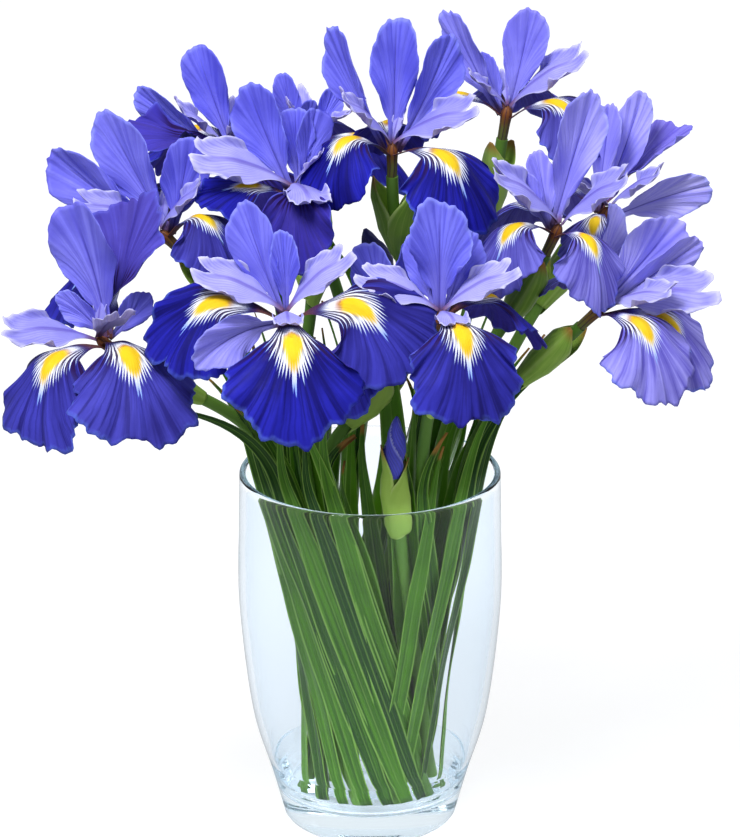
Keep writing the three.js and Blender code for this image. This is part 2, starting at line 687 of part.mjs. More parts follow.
const placed = [];
for (const piece of [...greens, ...flowers]) {
  let { body } = piece;
  for (const earlier of placed) {
    if (overlaps(body, earlier.room)) body = body.subtract(earlier.room);
  }
  place(piece.name, largest(body).simplify(FINISH), piece.material);
  placed.push(piece);
}

place('vase', vase(), GLASS);
place('water', water(greens.map((piece) => piece.room)), WATER);

export default bunch;
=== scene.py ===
"""A hand-tied bunch of thirteen blue irises and two buds in a tapered clear glass vase with a little water.

Metres, +Z up, the vase's foot on the floor at the origin. +X is right and -Y is the front.
Sizes are written in millimetres and turned into metres where a mesh is made.
"""
import math

import bpy
import numpy as np
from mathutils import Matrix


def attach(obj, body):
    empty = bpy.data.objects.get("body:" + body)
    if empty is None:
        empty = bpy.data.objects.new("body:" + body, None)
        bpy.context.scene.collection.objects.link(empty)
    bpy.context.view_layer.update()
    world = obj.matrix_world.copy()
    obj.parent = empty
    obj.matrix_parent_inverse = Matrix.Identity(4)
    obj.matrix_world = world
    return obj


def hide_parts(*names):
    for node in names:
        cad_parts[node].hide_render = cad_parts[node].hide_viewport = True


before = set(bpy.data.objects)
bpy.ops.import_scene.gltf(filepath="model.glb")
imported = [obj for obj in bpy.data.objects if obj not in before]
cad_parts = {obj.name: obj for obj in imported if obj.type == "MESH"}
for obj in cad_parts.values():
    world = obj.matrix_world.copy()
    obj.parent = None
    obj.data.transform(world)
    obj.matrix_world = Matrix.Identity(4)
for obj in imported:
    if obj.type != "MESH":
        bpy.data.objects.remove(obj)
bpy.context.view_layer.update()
scene = bpy.context.scene

# ---------------------------------------------------------------------------------------------------------
# Camera. A long lens looks down on the bunch a little, so that the rim of the vase shows as a flat oval.
# One pixel of the picture is 0.46 mm at the vase's axis.
MM = 0.001
AIM_HEIGHT = 198
CAMERA_DISTANCE = 2400
CAMERA_TILT = 20
PICTURE_LONG_SIDE = 837
PIXEL = 0.46

camera_data = bpy.data.cameras.new("camera")
camera_data.sensor_width = 36
camera_data.lens = CAMERA_DISTANCE / PIXEL * camera_data.sensor_width / PICTURE_LONG_SIDE
camera_data.clip_end = 100


def placed(name, data):
    """A new object of the scene."""
    made = bpy.data.objects.new(name, data)
    scene.collection.objects.link(made)
    return made


camera = placed("camera", camera_data)
tilt = math.radians(CAMERA_TILT)
camera.location = (
    0,
    -CAMERA_DISTANCE * math.cos(tilt) * MM,
    (AIM_HEIGHT + CAMERA_DISTANCE * math.sin(tilt)) * MM,
)
camera.rotation_euler = (math.pi / 2 - tilt, 0, 0)
scene.camera = camera
scene.view_settings.view_transform = "Standard"


# ---------------------------------------------------------------------------------------------------------
# Studio. A white table in an evenly lit white room, with a broad soft lamp to the front left and weaker
# ones to the right and behind. The table glows a little, as an overexposed one does.
def node_of(tree, kind, inputs, settings=None):
    """A node of a tree with its settings and the values or links of its sockets."""
    node = tree.nodes.new(kind)
    for key, value in (settings or {}).items():
        setattr(node, key, value)
    for key, value in inputs.items():
        if isinstance(value, bpy.types.NodeSocket):
            tree.links.new(value, node.inputs[key])
        else:
            node.inputs[key].default_value = value
    return node


class Value:
    """A number on the way through a material's nodes. Its sums and products add Math nodes."""

    def __init__(self, finish, socket):
        self.finish = finish
        self.socket = socket

    def maths(self, operation, *others):
        inputs = dict(enumerate((self, *others)))
        return self.finish.node("ShaderNodeMath", {"operation": operation}, inputs)

    def __add__(self, other):
        return self.maths("ADD", other)

    __radd__ = __add__

    def __mul__(self, other):
        return self.maths("MULTIPLY", other)

    __rmul__ = __mul__

    def __sub__(self, other):
        return self.maths("SUBTRACT", other)

    def __rsub__(self, other):
        return self * -1 + other

    def __truediv__(self, other):
        return self.maths("DIVIDE", other)

    def __pow__(self, other):
        return self.maths("POWER", other)

    def __abs__(self):
        return self.maths("ABSOLUTE")

    def larger(self, other):
        return self.maths("MAXIMUM", other)

    def rising(self, low, high):
        """0 below low, 1 above high and smooth between them; low may be the larger."""
        settings = {"interpolation_type": "SMOOTHSTEP"}
        return self.finish.node("ShaderNodeMapRange", settings, {0: self, 1: low, 2: high})


class Finish:
    """A material while it is built."""

    def __init__(self, name, kind="materials"):
        self.material = getattr(bpy.data, kind).new(name)
        self.material.use_nodes = True
        self.tree = self.material.node_tree
        self.tree.nodes.clear()

    def node(self, kind, settings, inputs, output=0):
        sockets = {key: value.socket if isinstance(value, Value) else value for key, value in inputs.items()}
        node = node_of(self.tree, kind, sockets, settings)
        return Value(self, node.outputs[output])

    def attribute(self, name):
        """The three numbers of a named attribute of the mesh."""
        vector = self.node("ShaderNodeAttribute", {"attribute_name": name}, {}, "Vector")
        return self.parts(vector)

    def parts(self, vector):
        first = self.node("ShaderNodeSeparateXYZ", {}, {0: vector})
        return [Value(self, output) for output in first.socket.node.outputs]

    def place(self):
        return self.node("ShaderNodeTexCoord", {}, {}, "Object")

    def vector(self, x, y, z):
        return self.node("ShaderNodeCombineXYZ", {}, {0: x, 1: y, 2: z})

    def noise(self, scale, detail=2.0, vector=None):
        """Clouds over the object's own place, or over another vector."""
        inputs = {"Vector": vector or self.place(), "Scale": scale, "Detail": detail}
        return self.node("ShaderNodeTexNoise", {}, inputs)

    def mix(self, factor, first, second):
        return self.node("ShaderNodeMix", {"data_type": "RGBA"}, {0: factor, 6: first, 7: second}, 2)

    def bump(self, height, distance, strength=1.0):
        inputs = {"Height": height, "Distance": distance * MM, "Strength": strength}
        return self.node("ShaderNodeBump", {}, inputs)

    def surface(self, **sockets):
        """The main shader; spaces in its sockets' names are written as underscores."""
        inputs = {key.replace("_", " "): value for key, value in sockets.items()}
        return self.node("ShaderNodeBsdfPrincipled", {}, inputs)

    def ray_is(self, kind):
        """1 where a ray of this kind meets the surface."""
        return self.node("ShaderNodeLightPath", {}, {}, "Is " + kind + " Ray")

    def choice(self, factor, first, second):
        """The first shader where the factor is 0 and the second where it is 1."""
        return self.node("ShaderNodeMixShader", {}, {0: factor, 1: first, 2: second})

    def done(self, shader, volume=None):
        output = self.tree.nodes.new("ShaderNodeOutputMaterial")
        self.tree.links.new(shader.socket, output.inputs["Surface"])
        if volume:
            self.tree.links.new(volume.socket, output.inputs["Volume"])
        return self.material


FLOOR_SIZE = 40.0
ROOM_WHITE = (0.99, 0.995, 1.0, 1)
# The room's brightness in the shade of the flowers and in mirror images, where it is 1 to the camera
SHADE_LIGHT = 0.32
MIRRORED_LIGHT = 0.35


def seen(finish):
    """1 for what the camera sees, also through glass, and 0 for what lights the flowers."""
    return finish.ray_is("Camera").larger(finish.ray_is("Transmission"))


def mirrored(finish):
    """1 for what a shiny surface mirrors. It is kept dimmer, so that the glass has no white haze."""
    return finish.ray_is("Glossy") * (1 - seen(finish))


table_finish = Finish("white table")
table_grain = table_finish.noise(3.0)
table_white = table_finish.mix(table_grain, (0.30, 0.305, 0.32, 1), (0.31, 0.315, 0.325, 1))
# The table as the camera sees it, as it lights the flowers and as the glass mirrors it
seen_table, lighting_table, mirrored_table = (
    table_finish.surface(Base_Color=color, Roughness=0.7, Emission_Color=ROOM_WHITE, Emission_Strength=glow)
    for color, glow in ((table_white, 0.745), (table_white, 0.12), ((0.1, 0.1, 0.1, 1), 0.25))
)
direct_table = table_finish.choice(seen(table_finish), lighting_table, seen_table)
table_surface = table_finish.choice(mirrored(table_finish), direct_table, mirrored_table)
half_floor = FLOOR_SIZE / 2
floor_mesh = bpy.data.meshes.new("floor")
floor_corners = [(x * half_floor, y * half_floor, 0) for x, y in ((-1, -1), (1, -1), (1, 1), (-1, 1))]
floor_mesh.from_pydata(floor_corners, [], [(0, 1, 2, 3)])
floor_mesh.materials.append(table_finish.done(table_surface))
floor = placed("floor", floor_mesh)

room = Finish("white room", "worlds")
room_unseen = mirrored(room) * (MIRRORED_LIGHT - SHADE_LIGHT) + SHADE_LIGHT
room_strength = seen(room) * (1 - SHADE_LIGHT) + room_unseen
room_light = room.node("ShaderNodeBackground", {}, {"Color": ROOM_WHITE, "Strength": room_strength})
room_output = room.tree.nodes.new("ShaderNodeOutputWorld")
room.tree.links.new(room_light.socket, room_output.inputs["Surface"])
scene.world = room.material
# Light may be mirrored many times inside the vase's thick glass
LIGHT_BOUNCES = 96
scene.cycles.max_bounces = LIGHT_BOUNCES
scene.cycles.glossy_bounces = LIGHT_BOUNCES
scene.cycles.transmission_bounces = LIGHT_BOUNCES

# Name, bearing, rise and distance in metres, width in metres, power in watts
LAMPS = [
    ("front left lamp", 238, 58, 2.2, 0.9, 50),
    ("right lamp", 320, 35, 2.4, 1.4, 8),
    ("back lamp", 48, 52, 2.4, 1.2, 20),
]


def heading(bearing, rise):
    """Unit vectors from angles in degrees: bearing 0 is right, 90 away, 180 left, 270 to the front."""
    flat, upright = np.radians(bearing), np.radians(rise)
    parts = np.cos(upright) * np.cos(flat), np.cos(upright) * np.sin(flat), np.sin(upright)
    return np.stack(np.broadcast_arrays(*parts), -1)


for lamp_name, bearing, rise, distance, width, power in LAMPS:
    lamp_data = bpy.data.lights.new(lamp_name, "AREA")
    lamp_data.shape = "DISK"
    lamp_data.size = width
    lamp_data.energy = power
    lamp = placed(lamp_name, lamp_data)
    lamp.location = heading(bearing, rise) * distance + np.array([0, 0, AIM_HEIGHT * MM])
    lamp.rotation_euler = (math.pi / 2 - math.radians(rise), 0, math.radians(bearing + 90))

# ---------------------------------------------------------------------------------------------------------
# Vase. Blown clear glass with a faint blue tint, turned in one piece: a thick floor, a foot drawn in and
# a wall that widens to a straight, fire-polished rim.
VASE_HEIGHT = 173
VASE_RADIUS = 61
FOOT_RADIUS = 37.5
WALL = 3
FLOOR_HEIGHT = 14.5
VASE_SIDES = 144
# The wall's outer line from the foot up: shares of the vase's radius and of its height
OUTER_SHAPE = [
    (0.66, 0.02),
    (0.757, 0.145),
    (0.902, 0.324),
    (0.997, 0.618),
    (0.997, 0.838),
    (0.989, 0.994),
]
# The hollow's rounded floor from its middle out: radius, and height above its lowest part
FLOOR_SHAPE = [(0, 0), (33, 0), (37.5, 2.5), (41, 7)]


def ease(x):
    x = np.clip(x, 0, 1)
    return x * x * (3 - 2 * x)


def through(points, steps):
    """A smooth line through points, with this many steps between each two."""
    points = np.array(points, float)
    padded = np.vstack([2 * points[0] - points[1], points, 2 * points[-1] - points[-2]])
    line = []
    for before, start, end, after in zip(padded, padded[1:], padded[2:], padded[3:]):
        for k in np.arange(steps) / steps:
            bend = 2 * start + (end - before) * k
            bend += (2 * before - 5 * start + 4 * end - after) * k**2
            bend += (3 * start - before - 3 * end + after) * k**3
            line.append(bend / 2)
    return np.array([*line, points[-1]])


def turned(profile, sides):
    """Vertices and faces of a closed outline turned round the Z axis. It starts and ends on the axis."""
    angles = np.arange(sides) * 2 * np.pi / sides
    ring = np.stack([np.cos(angles), np.sin(angles)], -1)
    points = [[0, 0, profile[0][1]]]
    for radius, height in profile[1:-1]:
        points += [[x * radius, y * radius, height] for x, y in ring]
    points.append([0, 0, profile[-1][1]])
    rings, last = len(profile) - 2, len(points) - 1
    faces = []
    for side in range(sides):
        following = (side + 1) % sides
        faces.append((0, 1 + following, 1 + side))
        for row in range(rings - 1):
            low, high = 1 + row * sides, 1 + (row + 1) * sides
            faces.append((low + side, low + following, high + following, high + side))
        top = 1 + (rings - 1) * sides
        faces.append((top + side, top + following, last))
    return np.array(points, float), faces


def object_of(name, points, faces, material):
    """A smooth object from points in millimetres."""
    mesh = bpy.data.meshes.new(name)
    mesh.from_pydata((np.asarray(points) * MM).tolist(), [], faces)
    mesh.shade_smooth()
    mesh.materials.append(material)
    return placed(name, mesh)


outer_wall = through([(r * VASE_RADIUS, h * VASE_HEIGHT) for r, h in OUTER_SHAPE], 12)
floor_line = through([(r, FLOOR_HEIGHT + h) for r, h in FLOOR_SHAPE], 6)
inner_wall = outer_wall[outer_wall[:, 1] > floor_line[-1][1] + WALL] - (WALL, 0)
hollow = np.vstack([floor_line, through([floor_line[-1], *inner_wall[::6], inner_wall[-1]], 6)[1:]])
below_lip = VASE_HEIGHT - WALL / 2
lip_middle = (outer_wall[-1][0] - WALL / 2, below_lip)
lip = [
    (lip_middle[0] + WALL / 2 * math.cos(a), lip_middle[1] + WALL / 2 * math.sin(a))
    for a in np.linspace(0.1, math.pi - 0.1, 9)
]
foot = [
    (0, 1.2),
    (FOOT_RADIUS - 8, 1.0),
    (FOOT_RADIUS - 5, 0.2),
    (FOOT_RADIUS - 3, 0),
    (FOOT_RADIUS - 0.5, 0.2),
    (FOOT_RADIUS + 1.2, 1.4),
]
vase_profile = [
    *foot,
    *[point for point in outer_wall if point[1] < below_lip],
    *lip,
    *[point for point in hollow[::-1] if point[1] < below_lip],
]

glass_finish = Finish("clear glass")
glass_waves = glass_finish.noise(28.0, 1.0)
# Seen straight on the glass has its faint blue tint; seen slantwise it turns a deeper grey-blue, painted
# shade that draws the wall's edges
slant = glass_finish.node("ShaderNodeLayerWeight", {}, {"Blend": 0.5}, "Facing")
glass_tint = glass_finish.mix(slant.rising(0.35, 1) * 0.7, (0.885, 0.935, 0.978, 1), (0.74, 0.84, 0.93, 1))
_, _, glass_height = glass_finish.parts(glass_finish.place())
# Near the rim the glass is left almost untinted: painted light that keeps the lip a light line
at_lip = glass_height.rising((VASE_HEIGHT - 6) * MM, (VASE_HEIGHT - 2) * MM)
glass = glass_finish.surface(
    Base_Color=glass_finish.mix(at_lip, glass_tint, (0.99, 0.995, 1, 1)),
    Roughness=0.0,
    IOR=1.3,
    Specular_IOR_Level=0.12,
    Transmission_Weight=1.0,
    Normal=glass_finish.bump(glass_waves, 0.25, 0.2),
)
glass_shadow = glass_finish.node("ShaderNodeBsdfTransparent", {}, {"Color": (0.95, 0.975, 1, 1)})
glass_surface = glass_finish.choice(glass_finish.ray_is("Shadow"), glass, glass_shadow)
glass_body = glass_finish.node(
    "ShaderNodeVolumeAbsorption", {}, {"Color": (0.3, 0.7, 0.85, 1), "Density": 1.6}
)


def hand_over(piece, node):
    """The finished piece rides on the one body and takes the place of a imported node."""
    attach(piece, "root")
    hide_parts(node)


vase_points, vase_faces = turned(vase_profile, VASE_SIDES)
vase = object_of("glass_vase", vase_points, vase_faces, glass_finish.done(glass_surface, glass_body))
hand_over(vase, "vase")

# ---------------------------------------------------------------------------------------------------------
# Water. A shallow pool that wets the glass and climbs it a little. It reaches a hair into the glass, so
# that no film of air shows between them.
WATER_LEVEL = 31
WETTING = 0.12
# How high the water climbs the glass, and how far from it the climb has fallen to a third
MENISCUS = 0.6
CLIMB = 1.1

wet_hollow = [point for point in hollow if point[1] < WATER_LEVEL]
share = (WATER_LEVEL - wet_hollow[-1][1]) / (hollow[len(wet_hollow)][1] - wet_hollow[-1][1])
shore = wet_hollow[-1][0] + share * (hollow[len(wet_hollow)][0] - wet_hollow[-1][0])
water_profile = [
    *[(radius + WETTING * (radius > 0), height - WETTING) for radius, height in wet_hollow],
    (shore + WETTING, WATER_LEVEL + MENISCUS),
    *[(shore - out, WATER_LEVEL + MENISCUS * math.exp(-out / CLIMB)) for out in (0.4, 1.2, 2.4, 4.5)],
    (shore / 2, WATER_LEVEL),
    (0, WATER_LEVEL),
]
water_finish = Finish("still water")
water_ripple = water_finish.noise(40.0, 1.0)
water_body = water_finish.surface(
    Base_Color=(0.95, 0.98, 1, 1),
    Roughness=0.0,
    IOR=1.06,
    Transmission_Weight=1.0,
    Normal=water_finish.bump(water_ripple, 0.1, 0.2),
)
water_shadow = water_finish.node("ShaderNodeBsdfTransparent", {}, {"Color": (0.95, 0.98, 1, 1)})
water_surface = water_finish.choice(water_finish.ray_is("Shadow"), water_body, water_shadow)
water_points, water_faces = turned(water_profile, VASE_SIDES)
water = object_of("pool_of_water", water_points, water_faces, water_finish.done(water_surface))
hand_over(water, "water")

# ---------------------------------------------------------------------------------------------------------
# Stems. Cut flower stems, round and finely ribbed, that stand on the vase's floor and cross at a waist:
# each goes straight from its place on the floor to its place at the rim, and bows from there to its flower.
STEM_RADIUS = 3
STEM_SIDES = 16
STEM_STEPS = 64
STEM_END = FLOOR_HEIGHT + 0.8
RIM_PASS = 176
# Degrees round the axis from a stem's place at the rim to its place on the floor
TWIST = 83
# Distance from the axis on the floor and at the rim
RINGS = {"outer": (29, 47), "inner": (17, 31)}
# Share of the way from rim to flower over which a stem holds the direction it has at each end
STEM_BOW = 0.42
TUBE_LENGTH = 10
# Where the petals meet, the bearing and rise of the flower's tube, the stem's ring and its place at the rim
IRISES = {
    "front_left": ((-37, -78, 274), (262, 72), "outer", 250),
    "front_right": ((31, -78, 274), (280, 74), "outer", 300),
    "low_left": ((-120, -45, 251), (195, 40), "outer", 212),
    "low_right": ((103, -38, 264), (335, 46), "outer", 335),
    "right_middle": ((84, -25, 297), (340, 66), "inner", 350),
    "mid_left": ((-93, -5, 288), (185, 46), "outer", 178),
    "left_middle": ((-34, -8, 310), (170, 74), "inner", 170),
    "top": ((10, 4, 326), (270, 84), "inner", 50),
    "back_right": ((108, 32, 287), (15, 52), "outer", 15),
    "back_left": ((-66, 50, 311), (150, 60), "outer", 140),
    "top_right": ((63, 52, 329), (330, 80), "outer", 52),
    "back_middle": ((-30, 62, 312), (105, 70), "outer", 100),
    "inner": ((11, -26, 248), (270, 76), "inner", 230),
}
# The foot of the furled petals, the bearing and rise of the bud, the stem's ring and its place at the rim
BUDS = {
    "bud_front": ((10.8, -49.5, 191), (285, 80), "outer", 284),
    "bud_middle": ((8, 22, 256), (170, 68), "inner", 110),
}


def unit(vectors):
    return vectors / np.linalg.norm(vectors, axis=-1, keepdims=True)


class Path:
    """The middle line of a stem or of a loose leaf. Foot and rim are bearings and distances from the axis."""

    def __init__(self, foot, rim, top, lean):
        low = heading(foot[0], 0) * foot[1] + (0, 0, STEM_END)
        high = heading(rim[0], 0) * rim[1] + (0, 0, RIM_PASS)
        reach = np.linalg.norm(top - high) * STEM_BOW
        rising = unit(high - low)
        corners = [high, high + rising * reach, top - heading(*lean) * reach, top]
        k = np.linspace(0, 1, 60)[:, None]
        weights = ((1 - k) ** 3, 3 * k * (1 - k) ** 2, 3 * k**2 * (1 - k), k**3)
        bow = sum(weight * corner for weight, corner in zip(weights, corners))
        straight = low + (high - low) * np.linspace(0, 1, 60)[:-1, None]
        self.points = np.vstack([straight, bow])
        steps = np.linalg.norm(np.diff(self.points, axis=0), axis=1)
        self.lengths = np.concatenate([[0], np.cumsum(steps)])
        self.total = self.lengths[-1]
        self.rim = np.linalg.norm(high - low)

    def at(self, length):
        return np.stack([np.interp(length, self.lengths, axis) for axis in self.points.T], -1)

    def along(self, length):
        length = np.minimum(length, self.total - 1.0)
        return unit(self.at(length + 1.0) - self.at(length - 1.0))


paths = {}
for name, (heart, lean, ring, place) in {**IRISES, **BUDS}.items():
    tube = 0 if name in BUDS else TUBE_LENGTH
    foot_radius, rim_radius = RINGS[ring]
    top = np.array(heart) - heading(*lean) * tube
    paths[name] = Path((place + TWIST, foot_radius), (place, rim_radius), top, lean)


def stem_tree():
    """A line becomes a round stem as thick as its points' girth, closed at both ends."""
    tree = bpy.data.node_groups.new("stem along its line", "GeometryNodeTree")
    for name, kind in (("Line", "Geometry"), ("Sides", "Int"), ("Skin", "Material")):
        tree.interface.new_socket(name, in_out="INPUT", socket_type="NodeSocket" + kind)
    tree.interface.new_socket("Stem", in_out="OUTPUT", socket_type="NodeSocketGeometry")
    given = tree.nodes.new("NodeGroupInput").outputs
    line = node_of(tree, "GeometryNodeMeshToCurve", {"Mesh": given["Line"]}).outputs["Curve"]
    girth = node_of(tree, "GeometryNodeInputNamedAttribute", {"Name": "girth"}, {"data_type": "FLOAT"})
    ring = node_of(tree, "GeometryNodeCurvePrimitiveCircle", {"Resolution": given["Sides"], "Radius": 1.0})
    body = {"Curve": line, "Profile Curve": ring.outputs["Curve"], "Fill Caps": True}
    body["Scale"] = girth.outputs["Attribute"]
    stem = node_of(tree, "GeometryNodeCurveToMesh", body).outputs["Mesh"]
    real = node_of(tree, "GeometryNodeRealizeInstances", {"Geometry": stem}).outputs["Geometry"]
    skinned = node_of(tree, "GeometryNodeSetMaterial", {"Geometry": real, "Material": given["Skin"]})
    result = tree.nodes.new("NodeGroupOutput")
    tree.links.new(skinned.outputs["Geometry"], result.inputs["Stem"])
    return tree


def grown(source, tree, values):
    """Replaces the object's mesh by what a geometry tree makes of it."""
    modifier = source.modifiers.new("grow", "NODES")
    modifier.node_group = tree
    for item in tree.interface.items_tree:
        if item.in_out == "INPUT" and item.name in values:
            modifier[item.identifier] = values[item.name]
    evaluated = source.evaluated_get(bpy.context.evaluated_depsgraph_get())
    mesh = bpy.data.meshes.new_from_object(evaluated)
    source.modifiers.remove(modifier)
    source.data = mesh


def write_vectors(mesh, name, numbers):
    """Three numbers at each point of a mesh, for its material to read."""
    attribute = mesh.attributes.new(name, "FLOAT_VECTOR", "POINT")
    attribute.data.foreach_set("vector", np.asarray(numbers, float).ravel())


def green_finish(name, dark, light, edge, dry_tip, rib_count):
    """A waxy green skin with fine ribs along it, dry and brown from a share of its length on. The mesh's
    "pattern" holds a place across from -1 to 1, a share of the length and a tone of its own."""
    finish = Finish(name)
    across, along, tone = finish.attribute("pattern")
    cloud = finish.noise(45.0, 3.0)
    patch = finish.noise(14.0, 1.0)
    ribs = abs((across * rib_count + cloud * 0.5).maths("SINE"))
    streaks = finish.noise(1.0, 3.0, finish.vector(across * 3.5, along * 1.5, tone * 40))
    skin = finish.mix((patch * 0.5 + tone * 1.25 + streaks * 1.4 - 1.1).rising(0, 1), dark, light)
    skin = finish.mix(ribs.rising(0.5, 0) * 0.35, skin, light)
    skin = finish.mix(cloud.rising(0.45, 0.8) * 0.35, skin, dark)
    skin = finish.mix(abs(across).rising(0.12, 0) * 0.3, skin, edge)
    skin = finish.mix(abs(across).rising(0.8, 0.97) * 0.75, skin, edge)
    tip = (along + cloud * 0.12).rising(dry_tip, 1.04)
    skin = finish.mix(tip * 0.9, skin, (0.38, 0.17, 0.035, 1))
    surface = finish.surface(
        Base_Color=skin,
        Roughness=cloud * 0.2 + 0.3,
        Specular_IOR_Level=0.22,
        Normal=finish.bump(ribs, 0.1, 0.5),
    )
    return finish.done(surface)


stem_skin = green_finish(
    "stem skin", (0.05, 0.15, 0.018, 1), (0.15, 0.32, 0.045, 1), (0.15, 0.32, 0.045, 1), 1.03, 9.0
)
round_stem = stem_tree()


def stem_node(name):
    return name + "_stem" if name in BUDS else "iris_" + name + "_stem"


for order, (name, path) in enumerate(paths.items()):
    lengths = np.linspace(0, path.total - 3, STEM_STEPS)
    line_mesh = bpy.data.meshes.new("stem_" + name)
    line_points = (path.at(lengths) * MM).tolist()
    line_mesh.from_pydata(line_points, [(step, step + 1) for step in range(STEM_STEPS - 1)], [])
    girths = STEM_RADIUS * (1.02 - 0.1 * lengths / path.total) * MM
    line_mesh.attributes.new("girth", "FLOAT", "POINT").data.foreach_set("value", girths)
    tone = (order * 0.37) % 1
    write_vectors(line_mesh, "pattern", [(0, 0.9 * length / path.total, tone) for length in lengths])
    stem = placed("stem_" + name, line_mesh)
    grown(stem, round_stem, {"Sides": STEM_SIDES, "Skin": stem_skin})
    stem.data.shade_smooth()
    hand_over(stem, stem_node(name))


# ---------------------------------------------------------------------------------------------------------
# Leaves and sheaths. Strap leaves, channelled along their middle, clasp a stem low in the vase and lean away
# above the rim, and two boat-shaped bracts wrap the stem's top, one over the other. Leaves stripped of their
# stems are pushed in among them.
LEAF_WIDTH = 9.5
LEAF_START = 7
# Shares of the width at even steps from the foot to the tip
LEAF_TAPER = [0.55, 0.95, 1, 1, 0.59, 0.12]
LEAF_CHANNEL = 0.22
LEAF_CLEARANCE = 2.5
LEAF_THICKNESS = 0.7
# Steps along and across
LEAF_GRID = (44, 9)
# Length above the rim, lean to the right and lean away
LEAVES = {
    "front_left": (60, 14, -8),
    "front_right": (40, 10, 6),
    "low_left": (70, -10, -14),
    "low_right": (80, 8, 10),
    "right_middle": (60, 6, 12),
    "mid_left": (60, -12, -6),
    "left_middle": (50, -6, 4),
    "top": (60, 4, 6),
    "back_right": (60, 10, 12),
    "back_left": (60, -8, 8),
    "top_right": (70, 8, 12),
    "back_middle": (60, -4, 12),
    "inner": (30, 2, -6),
    "bud_front": (4, 0, 0),
    "bud_middle": (20, 4, 6),
}
# The stem beside which a loose leaf stands, its bearing and distance from the axis on the floor and at the
# rim, its height above the rim, the bearing and rise of its tip and its width
LOOSE_LEAVES = [
    ("inner", (300, 35), (226, 53), 38, 232, 76, 11),
    ("front_left", (314, 34), (240, 53), 34, 240, 74, 10),
    ("low_left", (286, 35), (210, 54), 58, 205, 50, 10),
    ("mid_left", (270, 35), (197, 53), 60, 185, 46, 10),
    ("left_middle", (253, 35), (180, 53), 56, 170, 60, 9),
    ("back_left", (236, 34), (164, 52), 56, 150, 60, 10),
    ("back_middle", (216, 34), (146, 50), 50, 120, 66, 10),
    ("front_right", (283, 23), (303, 52), 30, 310, 66, 8),
    ("right_middle", (300, 25), (322, 54), 60, 330, 54, 8),
    ("low_right", (322, 27), (341, 54), 70, 345, 46, 7),
    ("back_right", (340, 32), (12, 52), 60, 10, 50, 9),
    ("top_right", (151, 30), (68, 50), 52, 60, 64, 10),
    ("top", (190, 30), (112, 50), 50, 105, 66, 10),
    ("bud_middle", (113, 30), (35, 50), 60, 35, 56, 10),
    ("bud_middle", (345, 18), (262, 20), 34, 262, 84, 9),
    ("bud_middle", (160, 16), (78, 30), 70, 90, 80, 10),
    ("bud_middle", (178, 28), (93, 44), 74, 90, 76, 9),
    ("inner", (23, 18), (300, 23), 154, 156, 45, 12),
]
SPATHE_LENGTH = 46
BRACT_THICKNESS = 0.6
BRACT_GRID = (36, 19)
# Share of the length, half width across and half width outward
SPATHE_SHAPE = [(0, 3.2, 3.2), (0.35, 7.6, 6.2), (0.7, 7.0, 5.8), (1, 3.4, 3.4)]
# The two bracts of a flower's sheath: turn, lengths from the stem's top down to foot and tip, share wrapped
SHEATH = [(180, 42, 3, 0.6), (0, SPATHE_LENGTH, 6, 0.64)]
# The two bracts of a bud's sheath: turn, length down to the foot and length beyond the foot of the petals
BUD_SHEATHS = {
    "bud_front": [(168, 36, 13), (2, 33, 6)],
    "bud_middle": [(190, 36, 10), (10, 33, 8)],
}
BUD_SHEATH_GIRTH = 0.8
BUD_SHEATH_WRAP = 0.8
BUD_SHEATH_TONE = 0.9


class Sheets:
    """Thin closed sheets gathered into one mesh. Each is a grid of points, [row, column], with numbers for
    its material."""

    def __init__(self):
        self.points, self.faces, self.values, self.skins = [], [], [], []
        self.count = 0

    def add(self, grid, thickness, out, values, skin=0):
        """values is {attribute: grid of three numbers}; out is the direction that the upper face looks to and
        skin the place of its material. On the under face the first attribute's third number is 1 more."""
        normals = unit(np.cross(np.gradient(grid, axis=0), np.gradient(grid, axis=1)))
        if np.sum(normals * out) < 0:
            grid, normals, thickness = grid[:, ::-1], -normals[:, ::-1], thickness[:, ::-1]
            values = {key: value[:, ::-1] for key, value in values.items()}
        rows, columns = grid.shape[:2]
        half = thickness[..., None] / 2
        self.points += [(grid + normals * half).reshape(-1, 3), (grid - normals * half).reshape(-1, 3)]
        index = np.arange(rows * columns).reshape(rows, columns) + self.count
        upper = np.stack([index[:-1, :-1], index[1:, :-1], index[1:, 1:], index[:-1, 1:]], -1).reshape(-1, 4)
        border = np.concatenate([index[:, 0], index[-1, 1:], index[-2::-1, -1], index[0, -2:0:-1]])
        following = np.roll(border, -1)
        size = rows * columns
        rim = np.stack([following, border, border + size, following + size], -1)
        self.faces += [upper, upper[:, ::-1] + size, rim]
        self.skins += [skin] * (2 * len(upper) + len(rim))
        flat = {key: np.asarray(value, float).reshape(-1, 3) for key, value in values.items()}
        under = {key: value.copy() for key, value in flat.items()}
        first = next(iter(under))
        under[first][:, 2] += 1
        self.values.append({key: np.vstack([flat[key], under[key]]) for key in flat})
        self.count += 2 * size

    def object(self, name, materials):
        made = object_of(name, np.vstack(self.points), np.vstack(self.faces).tolist(), materials[0])
        for material in materials[1:]:
            made.data.materials.append(material)
        made.data.polygons.foreach_set("material_index", self.skins)
        for key in self.values[0]:
            write_vectors(made.data, key, np.vstack([values[key] for values in self.values]))
        return made


def grid_of(rows, columns):
    """Shares 0 to 1 along and places -1 to 1 across."""
    return np.meshgrid(np.linspace(0, 1, rows), np.linspace(-1, 1, columns), indexing="ij")


def pattern_of(across, along, tone):
    """What green_finish reads at each point."""
    return {"pattern": np.stack([across, along, np.full(across.shape, tone)], -1)}


def to_front(bearing):
    """The turn from a bearing to the front, between -180 and 180."""
    return (90 - bearing) % 360 - 180


